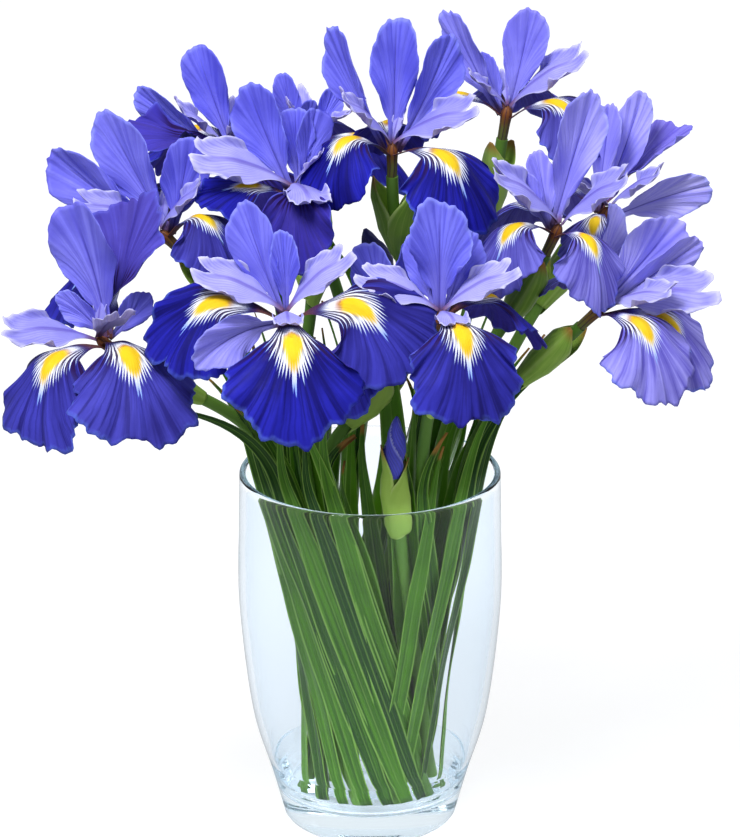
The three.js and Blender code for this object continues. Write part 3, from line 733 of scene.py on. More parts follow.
def leaf(sheets, path, start, above, right, away, turns, width, clear, tone, random):
    """A leaf along a stem from a length to a height above the rim, where it leans right and away. It lies
    clear of the stem's middle line on the side that turns says for its foot and its tip: 0 is outward."""
    share, t = grid_of(*LEAF_GRID)
    length = start + share * (min(path.rim + above, path.total - 2) - start)
    tangent = path.along(length)
    middle = path.at(length)
    outward = unit(middle * (1, 1, 0))
    level = unit(np.cross(tangent, outward))
    rising = np.cross(level, tangent)
    angle = np.radians(turns[0] + (turns[1] - turns[0]) * ease(share * 1.4 - 0.3))[..., None]
    across = level * np.cos(angle) - rising * np.sin(angle)
    out = rising * np.cos(angle) + level * np.sin(angle)
    taper = np.interp(share, np.linspace(0, 1, len(LEAF_TAPER)), LEAF_TAPER)
    half = width / 2 * taper
    lean = np.clip((length - path.rim) / max(above, 10), 0, None) ** 2
    clear = 1.5 + (clear - 1.5) * ease(share * 5)
    wave = 0.7 * np.sin(share * 17 + random.uniform(0, 6)) * t * t
    rise = clear + LEAF_CHANNEL * half * (np.abs(t) - 0.6) * 1.2 + wave * ease(share * 4)
    place = middle + across * (t * half)[..., None] + out * rise[..., None]
    place = place + np.array([right, away, 0]) * lean[..., None]
    thickness = LEAF_THICKNESS * (1 - 0.6 * t * t) * (1 - 0.4 * share)
    sheets.add(place, thickness, out, pattern_of(t, share, tone))


def bract(sheets, path, turn, foot, tip, wrap, tone, girth=1):
    """One bract: wrapped round the stem at its foot, open towards its point. Lengths are from the top."""
    share, t = grid_of(*BRACT_GRID)
    length = path.total - foot + share * (foot - tip)
    middle, tangent = path.at(np.minimum(length, path.total)), path.along(length)
    middle = middle + tangent * np.clip(length - path.total, 0, None)[..., None]
    side = unit(np.cross([0, 0, 1], tangent))
    other = np.cross(tangent, side)
    place = np.clip((length - path.total + SPATHE_LENGTH) / SPATHE_LENGTH, 0, 1)
    stations, across, outward = np.array(SPATHE_SHAPE).T
    across, outward = (girth * np.interp(place, stations, widths) for widths in (across, outward))
    reach = wrap * (1 - share**3) * ease(share * 6 + 0.6) + 0.05
    angle = np.radians(turn) + t * reach * np.pi
    facing = side * math.cos(math.radians(turn)) + other * math.sin(math.radians(turn))
    keel = 1 + 0.1 * np.exp(-((t * reach / 0.1) ** 2)) * ease(share * 3)
    spread = keel * (1 + 0.35 * share**2)
    away = side * (across * spread * np.cos(angle))[..., None]
    away = away + other * (outward * spread * np.sin(angle))[..., None]
    away = away + facing * (2.4 * share**2)[..., None]
    thickness = BRACT_THICKNESS * (1 - 0.7 * np.abs(t) ** 3)
    sheets.add(middle + away, thickness, away, pattern_of(t, share, tone), skin=1)


leaf_skin = green_finish(
    "leaf blade", (0.009, 0.055, 0.003, 1), (0.085, 0.25, 0.009, 1), (0.26, 0.47, 0.08, 1), 1.01, 7.0
)
bract_skin = green_finish(
    "bract", (0.18, 0.36, 0.035, 1), (0.38, 0.60, 0.10, 1), (0.50, 0.68, 0.20, 1), 0.86, 14.0
)
for order, (name, path) in enumerate(paths.items()):
    random = np.random.default_rng(order)
    blades = Sheets()
    above, right, away = LEAVES[name]
    clear = STEM_RADIUS + LEAF_CLEARANCE
    facing_front = to_front((IRISES | BUDS)[name][3])
    turns = (180, 180) if name in BUDS else (0, min(max(facing_front, -70), 70))
    tone = random.uniform(0, 0.9)
    leaf(blades, path, LEAF_START, above, right, away, turns, LEAF_WIDTH, clear, tone, random)
    sides = () if name in BUDS else (random.uniform(-35, 35), 180 + random.uniform(-60, 60))
    for side in sides:
        turn = facing_front + side
        start, rise = random.uniform(7, 18), random.uniform(12, 62)
        width = LEAF_WIDTH * random.uniform(0.8, 1.05)
        lean = heading(random.uniform(0, 360), 0) * random.uniform(3, 9)
        turns = (turn, turn + random.uniform(-40, 40))
        tone = random.uniform(0, 0.9)
        leaf(blades, path, start, rise, lean[0], lean[1], turns, width, clear, tone, random)
    for beside_stem, foot, rim, height, bearing, rise, width in LOOSE_LEAVES:
        if beside_stem == name:
            rim_point = heading(rim[0], 0) * rim[1] + (0, 0, RIM_PASS)
            tip = rim_point + (heading(rim[0], 80) + heading(bearing, rise)) * height / 2
            loose = Path(foot, rim, tip, (bearing, rise))
            turns = (0, to_front(rim[0]) * 0.6)
            leaf(blades, loose, 4, height + 2, 0, 0, turns, width, 0, random.uniform(0, 0.9), random)
    if name in BUDS:
        for turn, foot, beyond in BUD_SHEATHS[name]:
            bract(blades, path, turn, foot, -beyond, BUD_SHEATH_WRAP, BUD_SHEATH_TONE, BUD_SHEATH_GIRTH)
    else:
        turned_by = random.uniform(-30, 30)
        for turn, foot, tip, wrap in SHEATH:
            bract(blades, path, turned_by + turn, foot, tip, wrap, random.uniform(0.2, 1))
    blades_object = blades.object("leaves_" + name, [leaf_skin, bract_skin])
    hand_over(blades_object, stem_node(name))

# ---------------------------------------------------------------------------------------------------------
# Tubes and falls. A flower's slim tube comes out of the bracts. Its three outer petals, the falls, each have
# a narrow channelled claw and a broad blade that hangs from a knee with a yellow mark.

# The claw's share of the veins, and the degrees by which it starts steeper than it goes on
CLAW_SHARE = 0.4
CLAW_SPRING = 18
# How far from the tube's middle line and how far below the heart a petal starts
PETAL_ROOT = 2.9
PETAL_DEPTH = 1.6
TUBE_SIDES = 24
# Distance from the heart, and radius
TUBE_SHAPE = [(-14, 2.3), (-9, 2.4), (-5, 2.5), (-2, 2.7), (0, 2.6), (2, 1.8), (3.2, 0.8)]
# The flat pattern of the petal: the claw's length, its half width at both ends, the middle of the blade's
# ellipse, its radius along the petal, its half width and the angle that the margin covers either side of
# the tip
FALL = {"claw": 26, "root": 2.8, "neck": 9, "middle": 50, "radius": 25, "half": 27, "spread": 118}
FALL_SEED = 100
# Steps along and across
FALL_GRID = (54, 81)
FALL_THICKNESS = 0.6
# Millimetres on the pattern: the knee's place along it, half the width and length of the fan of white rays
# round the knee, and the yellow mark's place and half its width and length
KNEE = 32
WHITE_FAN = (12.4, 22.5)
MARK_MIDDLE = 34
YELLOW_MARK = (4.5, 11.5)
# Bearing, rise of the claw, rise of the blade, size, roll and width
FALLS = {
    "front_left": [
        (275, 0, -76, 1.06, 0, 1.02), (190, 16, -62, 0.95, -30, 1.05), (338, 16, -64, 0.98, 40, 1.05),
    ],
    "front_right": [(286, 8, -82, 1, 0, 0.98), (140, -5, -78, 0.86, 0, 0.9), (42, 5, -60, 0.85, 0, 1)],
    "low_left": [(228, 2, -84, 1, 0, 1.05), (290, 6, -66, 1.03, 0, 1.08), (50, 66, 60, 0.9, 180, 0.75)],
    "low_right": [(310, 4, -78, 0.9, 15, 0.85), (346, -2, -70, 0.88, 30, 0.85), (118, 34, -50, 0.6, 0, 1)],
    "right_middle": [(224, 16, -82, 0.8, 0, 0.9), (302, 10, -87, 0.8, 0, 0.75), (115, 10, -60, 0.85, 0, 1)],
    "mid_left": [(315, 30, -68, 0.8, 0, 0.95), (195, -12, -60, 0.9, 0, 1), (80, 30, -30, 0.9, 0, 1)],
    "left_middle": [(192, 15, -18, 0.6, -20, 0.9), (270, 5, -85, 0.76, 180, 0.8), (20, 44, -10, 0.5, 0, 0.9)],
    "top": [(222, 24, -78, 0.85, 0, 1), (316, 8, -80, 0.97, 0, 1.12), (95, 22, -70, 0.62, 0, 1)],
    "back_right": [(30, 38, 28, 0.8, 180, 0.7), (120, 10, -55, 0.9, 0, 1), (258, 5, -78, 0.62, 0, 1)],
    "back_left": [(215, 22, 0, 0.8, 180, 0.9), (300, -20, -78, 0.8, 180, 1), (125, 12, -65, 0.85, 0, 1)],
    "top_right": [(332, 22, -74, 0.8, 10, 1), (187, 26, -60, 0.72, 0, 1), (80, 15, -55, 0.9, 0, 1)],
    "back_middle": [(228, 50, -35, 0.6, 0, 0.9), (345, 10, -60, 0.8, 0, 0.9), (80, 10, -60, 0.85, 0, 1)],
    "inner": [(228, 0, -72, 0.8, 0, 1), (330, 0, -70, 0.9, 0, 1), (90, 0, -75, 0.68, 0, 1)],
}


class Spine:
    """The middle line of a petal, upright over its bearing, bent through rises at shares of its length."""

    def __init__(self, start, bearing, rises, length, roll=0, face=None):
        self.bearing, self.length, self.roll, self.face = bearing, length, roll, face
        self.shares, self.rises = np.array(rises, float).T
        steps = 80
        middles = heading(bearing, self.rise((np.arange(steps) + 0.5) / steps)) * length / steps
        self.points = np.vstack([start, start + np.cumsum(middles, axis=0)])

    def rise(self, share):
        stop = np.clip(np.searchsorted(self.shares, share), 1, len(self.shares) - 1)
        low, high = self.shares[stop - 1], self.shares[stop]
        start, end = self.rises[stop - 1], self.rises[stop]
        return start + (end - start) * ease((share - low) / (high - low))

    def frame(self, y):
        """Position, direction across and direction out of the face at lengths along the petal."""
        share = np.clip(y / self.length, 0, 1)
        stations = np.linspace(0, 1, len(self.points))
        position = np.stack([np.interp(share, stations, axis) for axis in self.points.T], -1)
        rise = self.rise(share)
        along = heading(self.bearing, rise)
        position = position + along * (y - share * self.length)[..., None]
        if self.face is not None:
            across = unit(np.cross(along, heading(self.face, 0)))
            return position, across, np.cross(across, along)
        level = heading(self.bearing + 90, 0 * rise)
        up = heading(self.bearing, rise + 90)
        turn = (np.radians(self.roll) * ease(share * 2.2))[..., None]
        return position, level * np.cos(turn) + up * np.sin(turn), up * np.cos(turn) - level * np.sin(turn)


def on_pattern(pattern, s, t, frill):
    """Across and along the flat pattern, and the share of the blade, at share s of a vein and place t."""
    claw, neck, half = pattern["claw"], pattern["neck"], pattern["half"]
    k = np.minimum(s / CLAW_SHARE, 1)
    claw_x, claw_y = t * (pattern["root"] + (neck - pattern["root"]) * k * k), claw * k
    u = np.clip((s - CLAW_SHARE) / (1 - CLAW_SHARE), 0, 1)
    angle = t * np.radians(pattern["spread"])
    length = pattern["middle"] + pattern["radius"]
    end_x = half * (1 + frill) * np.sin(angle)
    end_y = pattern["middle"] + pattern["radius"] * (1 + frill) * np.cos(angle)
    bend_x = t * (neck + 0.25 * half * np.abs(t))
    bend_y = claw + (1 - 0.85 * t * t) * 0.4 * (length - claw)
    x = (1 - u) ** 2 * t * neck + 2 * u * (1 - u) * bend_x + u * u * end_x
    y = (1 - u) ** 2 * claw + 2 * u * (1 - u) * bend_y + u * u * end_y
    return np.where(u > 0, x, claw_x), np.where(u > 0, y, claw_y), u


def beside(middle, up, direction, radius):
    """A point on a round body of this middle and upward direction, on the side that a direction looks to."""
    return middle + unit(direction - up * np.dot(direction, up)) * radius


def petal(sheets, pattern, spine, form, frill, size, width, steps, thickness, tone):
    """A petal cut to its flat pattern: form lifts it off its bent spine and frill moves its margin. Its
    finish reads the millimetres across and along, then the vein, the share along it and the tone."""
    s, t = grid_of(*steps)
    x, y, u = on_pattern(pattern, s, t, frill(t))
    position, across, out = spine.frame(y * size)
    height = form(x, y, u, t)
    place = position + across * (x * size * width)[..., None] + out * (height * size)[..., None]
    edge = np.maximum(u, np.abs(t)) ** 6
    values = {
        "pattern": np.stack([x, y, np.zeros_like(x)], -1),
        "veins": np.stack([t, s, np.full(x.shape, tone)], -1),
    }
    sheets.add(place, thickness * (1 - 0.7 * edge), out, values)


def petal_start(name, bearing, rise):
    heart, lean = IRISES[name][:2]
    up = heading(*lean)
    return beside(np.array(heart) - up * PETAL_DEPTH, up, heading(bearing, rise), PETAL_ROOT)


def petal_tone(name, random):
    """The flowers on the right are lighter: 0 is the deepest blue and 1 lavender."""
    heart = IRISES[name][0]
    right, left = ease((heart[0] - 40) / 60), ease((-70 - heart[0]) / 50)
    return min(max(0.88 * right + 0.19 * left + random.uniform(-0.03, 0.12), 0), 1)


def fall(sheets, name, values, random):
    bearing, claw, blade, size, roll, width = values
    rises = [(0, claw + CLAW_SPRING), (0.3, claw), (0.6, blade * 0.8 + claw * 0.2), (1, blade)]
    start = petal_start(name, bearing, claw + CLAW_SPRING)
    spine = Spine(start, bearing, rises, (FALL["middle"] + FALL["radius"]) * size, roll)
    waves = random.uniform(0, 2 * np.pi, 8)
    ragged = random.uniform(0.8, 1.8)
    notch = random.uniform(0.02, 0.09)
    lopsided = random.uniform(-0.004, 0.004)

    def frill(t):
        small = 0.018 * np.sin(33 * t + waves[0] + 2 * np.sin(5 * t)) + 0.014 * np.sin(59 * t + waves[1])
        broad = 0.05 * np.sin(8 * t + waves[2]) + 0.03 * np.sin(17 * t + waves[3])
        return ragged * (small + broad) - notch * np.exp(-((t / 0.07) ** 2))

    def form(x, y, u, t):
        channel = 0.03 * (1 - ease((y - 8) / 10))
        dome = 0.018 * ease((y - 12) / 10) - 0.009 * ease((y - 40) / 16) + lopsided * np.sign(x) * u
        ruffle = 3.0 * u**2.2 * np.sin(6.5 * t + waves[4]) * np.abs(t) ** 0.4
        pleats = 1.2 * u**2 * np.sin(14 * t + waves[5] + 2 * u) + 0.6 * u**2 * np.sin(23 * t + waves[7])
        crimp = 0.7 * u**5 * np.sin(37 * t + waves[6] + 2 * np.sin(6 * t))
        groove = -0.6 * np.exp(-((x / 1.6) ** 2)) * ease((y - 38) / 16)
        ridge = 0.9 * np.exp(-((x / 2.2) ** 2)) * ease((y - 12) / 10) * (1 - ease((y - 36) / 12))
        return (channel - dome) * x * x + ruffle + pleats + crimp + groove + ridge

    # Falls that point left are deeper and falls that point right lighter: painted shade, added on top of the
    # flower's own tone
    tone = petal_tone(name, random) * (0.7 + 0.3 * math.cos(math.radians(bearing)))
    petal(sheets, FALL, spine, form, frill, size, width, FALL_GRID, FALL_THICKNESS, tone)


def vein_lines(t, count, wander, thin):
    """1 on lines that follow the veins, 0 between them."""
    wave = abs(((t * count + wander).maths("FRACT") - 0.5) * 2)
    return wave.rising(thin, 1)


def fall_finish():
    finish = Finish("fall")
    x, y, under = finish.attribute("pattern")
    t, s, tone = finish.attribute("veins")
    cloud = finish.noise(90.0, 3.0)
    patch = finish.noise(38.0, 2.0)
    fine = finish.noise(420.0, 2.0)
    uneven = finish.noise(1.0, 1.0, finish.vector(t * 13, tone * 40, s))
    reach = (s - CLAW_SHARE) / (1 - CLAW_SHARE)
    wander = (cloud - 0.5) * 1.1
    veins = vein_lines(t, 15.0, wander, 0.45) * patch.rising(0.4, 0.65)
    streaks = finish.noise(1.0, 4.0, finish.vector(t * 17, s * 1.6, tone * 40))
    deep = finish.mix(tone, (0.006, 0.005, 0.12, 1), (0.12, 0.10, 0.60, 1))
    bright = finish.mix(tone, (0.018, 0.019, 0.46, 1), (0.42, 0.40, 1.0, 1))
    # Deeper towards the claw and brighter out along the blade: partly the petal's own colour and partly
    # painted shade round the heart
    blue = finish.mix((patch * 1.1 + reach * 0.5 - 0.4).rising(0, 1), deep, bright)
    blue = finish.mix(streaks.rising(0.5, 0.36) * 0.75, blue, deep)
    blue = finish.mix(streaks.rising(0.52, 0.7) * reach.rising(0, 0.5) * 0.8, blue, bright)
    blue = finish.mix(veins * 0.4, blue, deep)
    # A lighter blue along the margins: partly the petal's own colour and partly painted light on its edges
    edge = reach.larger(abs(t)) + (fine - 0.5) * 0.05
    blue = finish.mix(edge.rising(0.95, 1.0) * patch.rising(0.35, 0.6) * 0.6, blue, (0.12, 0.19, 0.80, 1))
    blue = finish.mix(under * 0.4, blue, (0.10, 0.07, 0.46, 1))
    upper = 1 - under
    # White rays fan out round the mark along the veins, each as long as it happens to be, and turn blue
    across = abs(x) / WHITE_FAN[0]
    length = abs(y - KNEE) / WHITE_FAN[1]
    distance = (across * across + length * length) ** 0.5
    rays = vein_lines(t, 15.0, wander * 0.5 + 0.5, 0.1)
    spear = abs(x).rising(1.5, 0.2) * (y - 36).rising(0, 6) * 0.7
    near_knee = y.rising(44, 30) * 0.15
    white = (rays * 0.55 + near_knee + uneven * 0.75 + spear - (distance - 0.6) * 1.7).rising(0.55, 0.8)
    white = white * y.rising(13, 20)
    pale = finish.mix(distance.rising(0.5, 0.95), (0.84, 0.87, 0.96, 1), (0.26, 0.42, 0.95, 1))
    blue = finish.mix(white * upper, blue, pale)
    # Dark veins cross the white at the knee, and brown ones run down the claw
    stripes = vein_lines(t, 6.5, wander * 0.5 + 0.5, 0.0)
    zebra = stripes.rising(0.62, 0.42)
    haft = y.rising(42, 32) * abs(x).rising(2.0, 3.5)
    blue = finish.mix(haft * zebra * 0.95, blue, (0.02, 0.006, 0.06, 1))
    mark_across = abs(x) / (YELLOW_MARK[0] - (y - (MARK_MIDDLE - 1)) * 0.1)
    mark_length = abs(y - MARK_MIDDLE) / YELLOW_MARK[1]
    mark = mark_across * mark_across + mark_length * mark_length + (cloud - 0.5) * 0.7 + rays * 0.25
    mark = mark.rising(1.25, 0.55)
    yellow = finish.mix(cloud, (0.80, 0.46, 0.006, 1), (0.90, 0.66, 0.03, 1))
    yellow = finish.mix((y + (fine - 0.5) * 8).rising(29, 23), yellow, (0.42, 0.12, 0.008, 1))
    blue = finish.mix(mark * upper, blue, yellow)
    brown = (y + (cloud - 0.5) * 12).rising(18, 7)
    claw = finish.mix(zebra, (0.26, 0.105, 0.02, 1), (0.05, 0.012, 0.03, 1))
    blue = finish.mix(brown * 0.85, blue, claw)
    surface = finish.surface(
        Base_Color=blue,
        Roughness=fine * 0.15 + 0.45,
        Specular_IOR_Level=0.06,
        Sheen_Weight=0.012,
        Sheen_Roughness=0.4,
        Sheen_Tint=(0.6, 0.65, 1, 1),
        Normal=finish.bump(cloud * 2.2 + veins * 0.4 + streaks * 1.6 + fine * 0.5, 0.35, 0.7),
    )
    return finish.done(surface)


def tube_finish():
    finish = Finish("tube")
    cloud = finish.noise(160.0, 3.0)
    around, share, _ = finish.attribute("pattern")
    skin = finish.mix((cloud * 0.6 + share).rising(0.3, 0.9), (0.13, 0.16, 0.035, 1), (0.22, 0.075, 0.016, 1))
    streak = abs((around * 12.0 + cloud * 2.5).maths("SINE")).rising(0.6, 0.1)
    skin = finish.mix(streak * 0.8, skin, (0.05, 0.014, 0.04, 1))
    surface = finish.surface(
        Base_Color=skin, Roughness=cloud * 0.1 + 0.45, Specular_IOR_Level=0.3,
        Normal=finish.bump(streak, 0.2, 0.5),
    )
    return finish.done(surface)


def spokes(up, angles):
    """Unit vectors at angles round a direction."""
    side = unit(np.cross([0, 0, 1], up))
    return side * np.cos(angles)[..., None] + np.cross(up, side) * np.sin(angles)[..., None]


def rolled(name, rings, material):
    """A closed round body through rings of points, [ring, place round it], in millimetres."""
    count, sides = rings.shape[:2]
    faces = [
        (low + side, low + (side + 1) % sides, low + sides + (side + 1) % sides, low + sides + side)
        for low in range(0, (count - 1) * sides, sides) for side in range(sides)
    ]
    faces += [tuple(range(sides))[::-1], tuple(range((count - 1) * sides, count * sides))]
    return object_of(name, rings.reshape(-1, 3), faces, material)


falls_skin, tube_skin = fall_finish(), tube_finish()
for order, (name, (heart, lean, _, _)) in enumerate(IRISES.items()):
    random = np.random.default_rng(FALL_SEED + order)
    petals = Sheets()
    for values in FALLS[name]:
        fall(petals, name, values, random)
    hand_over(petals.object("falls_" + name, [falls_skin]), "iris_" + name + "_petals")
    up = heading(*lean)
    distance, radius = through(TUBE_SHAPE, 4).T
    angles = np.arange(TUBE_SIDES) * 2 * np.pi / TUBE_SIDES
    rings = heart + up * distance[:, None, None] + spokes(up, angles) * radius[:, None, None]
    tube = rolled("tube_" + name, rings, tube_skin)
    share, t = grid_of(len(radius), TUBE_SIDES)
    write_vectors(tube.data, "pattern", np.stack([t, share, share * 0], -1))
    hand_over(tube, "iris_" + name + "_petals")

# ---------------------------------------------------------------------------------------------------------
# Standards. The three inner petals stand up between the falls: narrow at the foot, hollow, wavy at the
# margin, with a dark midrib and fine veins.
STANDARD = {"claw": 14, "root": 2.6, "neck": 3.6, "middle": 40, "radius": 20, "half": 14.5, "spread": 142}
STANDARD_SEED = 200
STANDARD_GRID = (44, 57)
STANDARD_THICKNESS = 0.55
# The one that droops shows its paler back
DROOPING_TONE = 0.6
# Bearing, rise at the foot, rise at the tip, bearing that the face looks to, size and width
STANDARDS = {
    "front_left": [
        (138, 60, 66, 260, 0.9, 0.78), (222, 6, -24, 262, 0.86, 0.85), (100, 78, 80, 270, 0.64, 0.7),
    ],
    "front_right": [
        (90, 82, 84, 270, 0.88, 1.08), (118, 60, 62, 255, 0.68, 0.9), (52, 56, 60, 290, 0.68, 0.85),
    ],
    "low_left": [(165, 80, 68, 250, 1.1, 0.95), (170, 50, 34, 262, 0.5, 0.9), (20, 40, 60, 290, 0.45, 1.2)],
    "low_right": [(25, 40, 46, 275, 0.9, 1.1), (12, 32, 34, 285, 0.92, 0.7), (75, 52, 50, 330, 0.85, 0.5)],
    "right_middle": [
        (24, 74, 71, 266, 1.1, 0.66), (165, 60, 60, 250, 0.55, 0.9), (118, 66, 66, 275, 0.6, 0.8),
    ],
    "mid_left": [(165, 32, 36, 260, 1.1, 0.75), (158, 57, 62, 260, 1.05, 0.85), (30, 75, 78, 270, 0.75, 1)],
    "left_middle": [
        (150, 62, 66, 262, 0.9, 0.95), (58, 70, 72, 300, 0.65, 0.9), (100, 70, 74, 270, 0.65, 0.9),
    ],
    "top": [(160, 60, 72, 232, 1.06, 0.58), (80, 80, 84, 270, 1.02, 0.74), (30, 56, 66, 290, 0.98, 0.76)],
    "back_right": [
        (42, 58, 66, 260, 0.98, 0.65), (62, 76, 76, 262, 0.85, 0.55), (355, 26, 16, 290, 0.85, 0.85),
    ],
    "back_left": [
        (140, 62, 66, 265, 0.88, 0.78), (165, 33, 38, 265, 0.86, 0.65), (40, 60, 60, 280, 0.5, 0.9),
    ],
    "top_right": [(160, 58, 64, 255, 0.9, 0.65), (44, 70, 74, 265, 0.84, 0.85), (125, 56, 56, 270, 0.5, 0.8)],
    "back_middle": [
        (140, 70, 72, 265, 0.58, 0.75), (40, 60, 60, 290, 0.48, 0.9), (285, 75, 80, 270, 0.4, 0.9),
    ],
    "inner": [(170, 75, 78, 260, 0.75, 1), (30, 75, 78, 290, 0.75, 1), (279, 72, 76, 270, 0.55, 0.8)],
}


def standard(sheets, name, values, random):
    bearing, foot_rise, tip_rise, face, size, width = values
    start = petal_start(name, bearing, foot_rise)
    length = (STANDARD["middle"] + STANDARD["radius"]) * size
    spine = Spine(start, bearing, [(0, foot_rise), (1, tip_rise)], length, face=face)
    waves = random.uniform(0, 2 * np.pi, 8)
    ragged = random.uniform(0.7, 1.6)
    notch = random.uniform(0.0, 0.06)
    fold = random.uniform(0.08, 0.26)
    lopsided = random.uniform(-0.010, 0.010)
    twist = random.uniform(-0.12, 0.12)

    def frill(t):
        small = 0.016 * np.sin(31 * t + waves[0] + 2 * np.sin(4 * t)) + 0.012 * np.sin(53 * t + waves[1])
        broad = 0.04 * np.sin(7 * t + waves[2]) + 0.03 * np.sin(13 * t + waves[3])
        return ragged * (small + broad) - notch * np.exp(-((t / 0.06) ** 2))

    def form(x, y, u, t):
        hollow_form = (0.016 + lopsided * np.sign(x) - fold / 70) * x * x + fold * np.abs(x)
        turned_form = twist * x * ease((y - 10) / 40)
        ruffle = 2.3 * u**1.5 * np.sin(8 * t + waves[4] + 2.5 * u) * np.abs(t) ** 0.7
        side_wave = 1.5 * t * t * np.sin(y * 0.21 + waves[5] + 1.5 * np.sign(t)) * ease((y - 14) / 16)
        crimp = 0.6 * u**4 * np.sin(27 * t + waves[6] + 2 * np.sin(5 * t))
        midrib = -0.5 * np.exp(-((x / 1.0) ** 2)) * (1 - ease((y - 48) / 12))
        return hollow_form + turned_form + ruffle + side_wave + crimp + midrib

    tone = petal_tone(name, random)
    if tip_rise < 0:
        tone = DROOPING_TONE
    petal(sheets, STANDARD, spine, form, frill, size, width, STANDARD_GRID, STANDARD_THICKNESS, tone)


def standard_finish():
    finish = Finish("standard")
    x, y, under = finish.attribute("pattern")
    t, s, tone = finish.attribute("veins")
    cloud = finish.noise(85.0, 3.0)
    patch = finish.noise(36.0, 2.0)
    fine = finish.noise(450.0, 2.0)
    reach = (s - CLAW_SHARE) / (1 - CLAW_SHARE)
    wander = (cloud - 0.5) * 1.0
    veins = vein_lines(t, 10.0, wander, 0.4) * patch.rising(0.3, 0.6)
    streaks = finish.noise(1.0, 4.0, finish.vector(t * 12, s * 1.4, tone * 40))
    deep = finish.mix(tone, (0.07, 0.068, 0.58, 1), (0.25, 0.23, 0.86, 1))
    bright = finish.mix(tone, (0.20, 0.205, 0.95, 1), (0.52, 0.50, 0.98, 1))
    blue = finish.mix((patch * 1.4 - 0.2).rising(0, 1), deep, bright)
    blue = finish.mix(abs(x).rising(8, 0.8) * y.rising(46, 10) * 0.4, blue, (0.34, 0.32, 0.86, 1))
    blue = finish.mix(streaks.rising(0.5, 0.34) * 0.6, blue, deep)
    blue = finish.mix(streaks.rising(0.52, 0.7) * 0.5, blue, bright)
    blue = finish.mix(veins * 0.3, blue, deep)
    blue = finish.mix(abs(x).rising(0.9, 0.1) * y.rising(58, 36) * 0.7, blue, (0.05, 0.04, 0.36, 1))
    edge = reach.larger(abs(t)) + (fine - 0.5) * 0.05
    blue = finish.mix(edge.rising(0.93, 1.0) * patch.rising(0.35, 0.6) * 0.5, blue, (0.26, 0.31, 0.92, 1))
    blue = finish.mix(under * 0.25, blue, (0.12, 0.10, 0.58, 1))
    blue = finish.mix((y + (cloud - 0.5) * 5).rising(9, 2) * 0.8, blue, (0.14, 0.05, 0.05, 1))
    surface = finish.surface(
        Base_Color=blue,
        Roughness=fine * 0.15 + 0.45,
        Specular_IOR_Level=0.25,
        Sheen_Weight=0.06,
        Sheen_Roughness=0.4,
        Sheen_Tint=(0.7, 0.72, 1, 1),
        Normal=finish.bump(cloud * 2.2 + veins * 0.4 + streaks * 1.6 + fine * 0.5, 0.35, 0.7),
    )
    return finish.done(surface)


standards_skin = standard_finish()
for order, name in enumerate(IRISES):
    random = np.random.default_rng(STANDARD_SEED + order)
    petals = Sheets()
    for values in STANDARDS[name]:
        standard(petals, name, values, random)
    hand_over(petals.object("standards_" + name, [standards_skin]), "iris_" + name + "_petals")

# ---------------------------------------------------------------------------------------------------------
# Styles. Three pale lilac arms spring from the top of the tube and lie over the claws of the falls, each a
# narrow roof with a violet midrib that ends in two upturned frilled crests.
ARM_HEIGHT = 3
ARM_ROOT = 1.2
ARM_GRID = (36, 33)
ARM_THICKNESS = 0.6
ARM_SEED = 300
ARM = {"claw": 14, "root": 1.6, "neck": 5, "middle": 30, "radius": 16, "half": 8.5, "spread": 110}
# Bearing, rise, size, roll and width
ARMS = {
    "front_left": [(174, 26, 0.98, -30, 1.2), (274, 6, 0.62, 0, 1.3), (20, 40, 0.85, 25, 1.2)],
    "front_right": [(172, 24, 0.88, -30, 1.2), (284, 6, 0.66, 0, 1.3), (14, 28, 0.85, 25, 1.2)],
    "low_left": [(200, 13, 1, -30, 1.2), (296, 34, 0.8, 0, 1.3), (62, 74, 0.5, 0, 0.8)],
    "low_right": [(325, 22, 0.9, 20, 1.1), (352, 12, 1.15, 35, 1.3), (100, 45, 0.6, 0, 1)],
    "right_middle": [(206, 42, 1.05, -30, 1.2), (340, 42, 0.95, 25, 1.3), (85, 34, 0.6, 0, 0.9)],
    "mid_left": [(335, 50, 0.75, 25, 1.2), (190, 26, 0.95, -30, 1.1), (80, 56, 0.4, 0, 0.8)],
    "left_middle": [(190, 22, 1.1, -35, 1.25), (284, 4, 0.95, 0, 1.25), (340, 50, 0.5, 0, 1.1)],
    "top": [(208, 46, 0.85, -22, 1.1), (345, 28, 1, 28, 1.25), (60, 60, 0.4, 0, 0.8)],
    "back_right": [(330, 40, 0.8, 20, 1.1), (150, 34, 0.5, 0, 0.9), (230, 34, 0.7, 0, 1)],
    "back_left": [(212, 44, 0.8, -20, 1.1), (300, 34, 0.7, 0, 1), (75, 38, 0.6, 0, 0.9)],
    "top_right": [(356, 38, 1, 22, 1.2), (200, 44, 0.6, -15, 0.9), (92, 30, 0.5, 0, 0.9)],
    "back_middle": [(222, 60, 0.5, -30, 1), (345, 30, 0.6, 0, 1), (100, 30, 0.7, 0, 1)],
    "inner": [(228, 25, 0.9, 0, 1), (330, 25, 0.9, 0, 1), (90, 25, 0.9, 0, 1)],
}


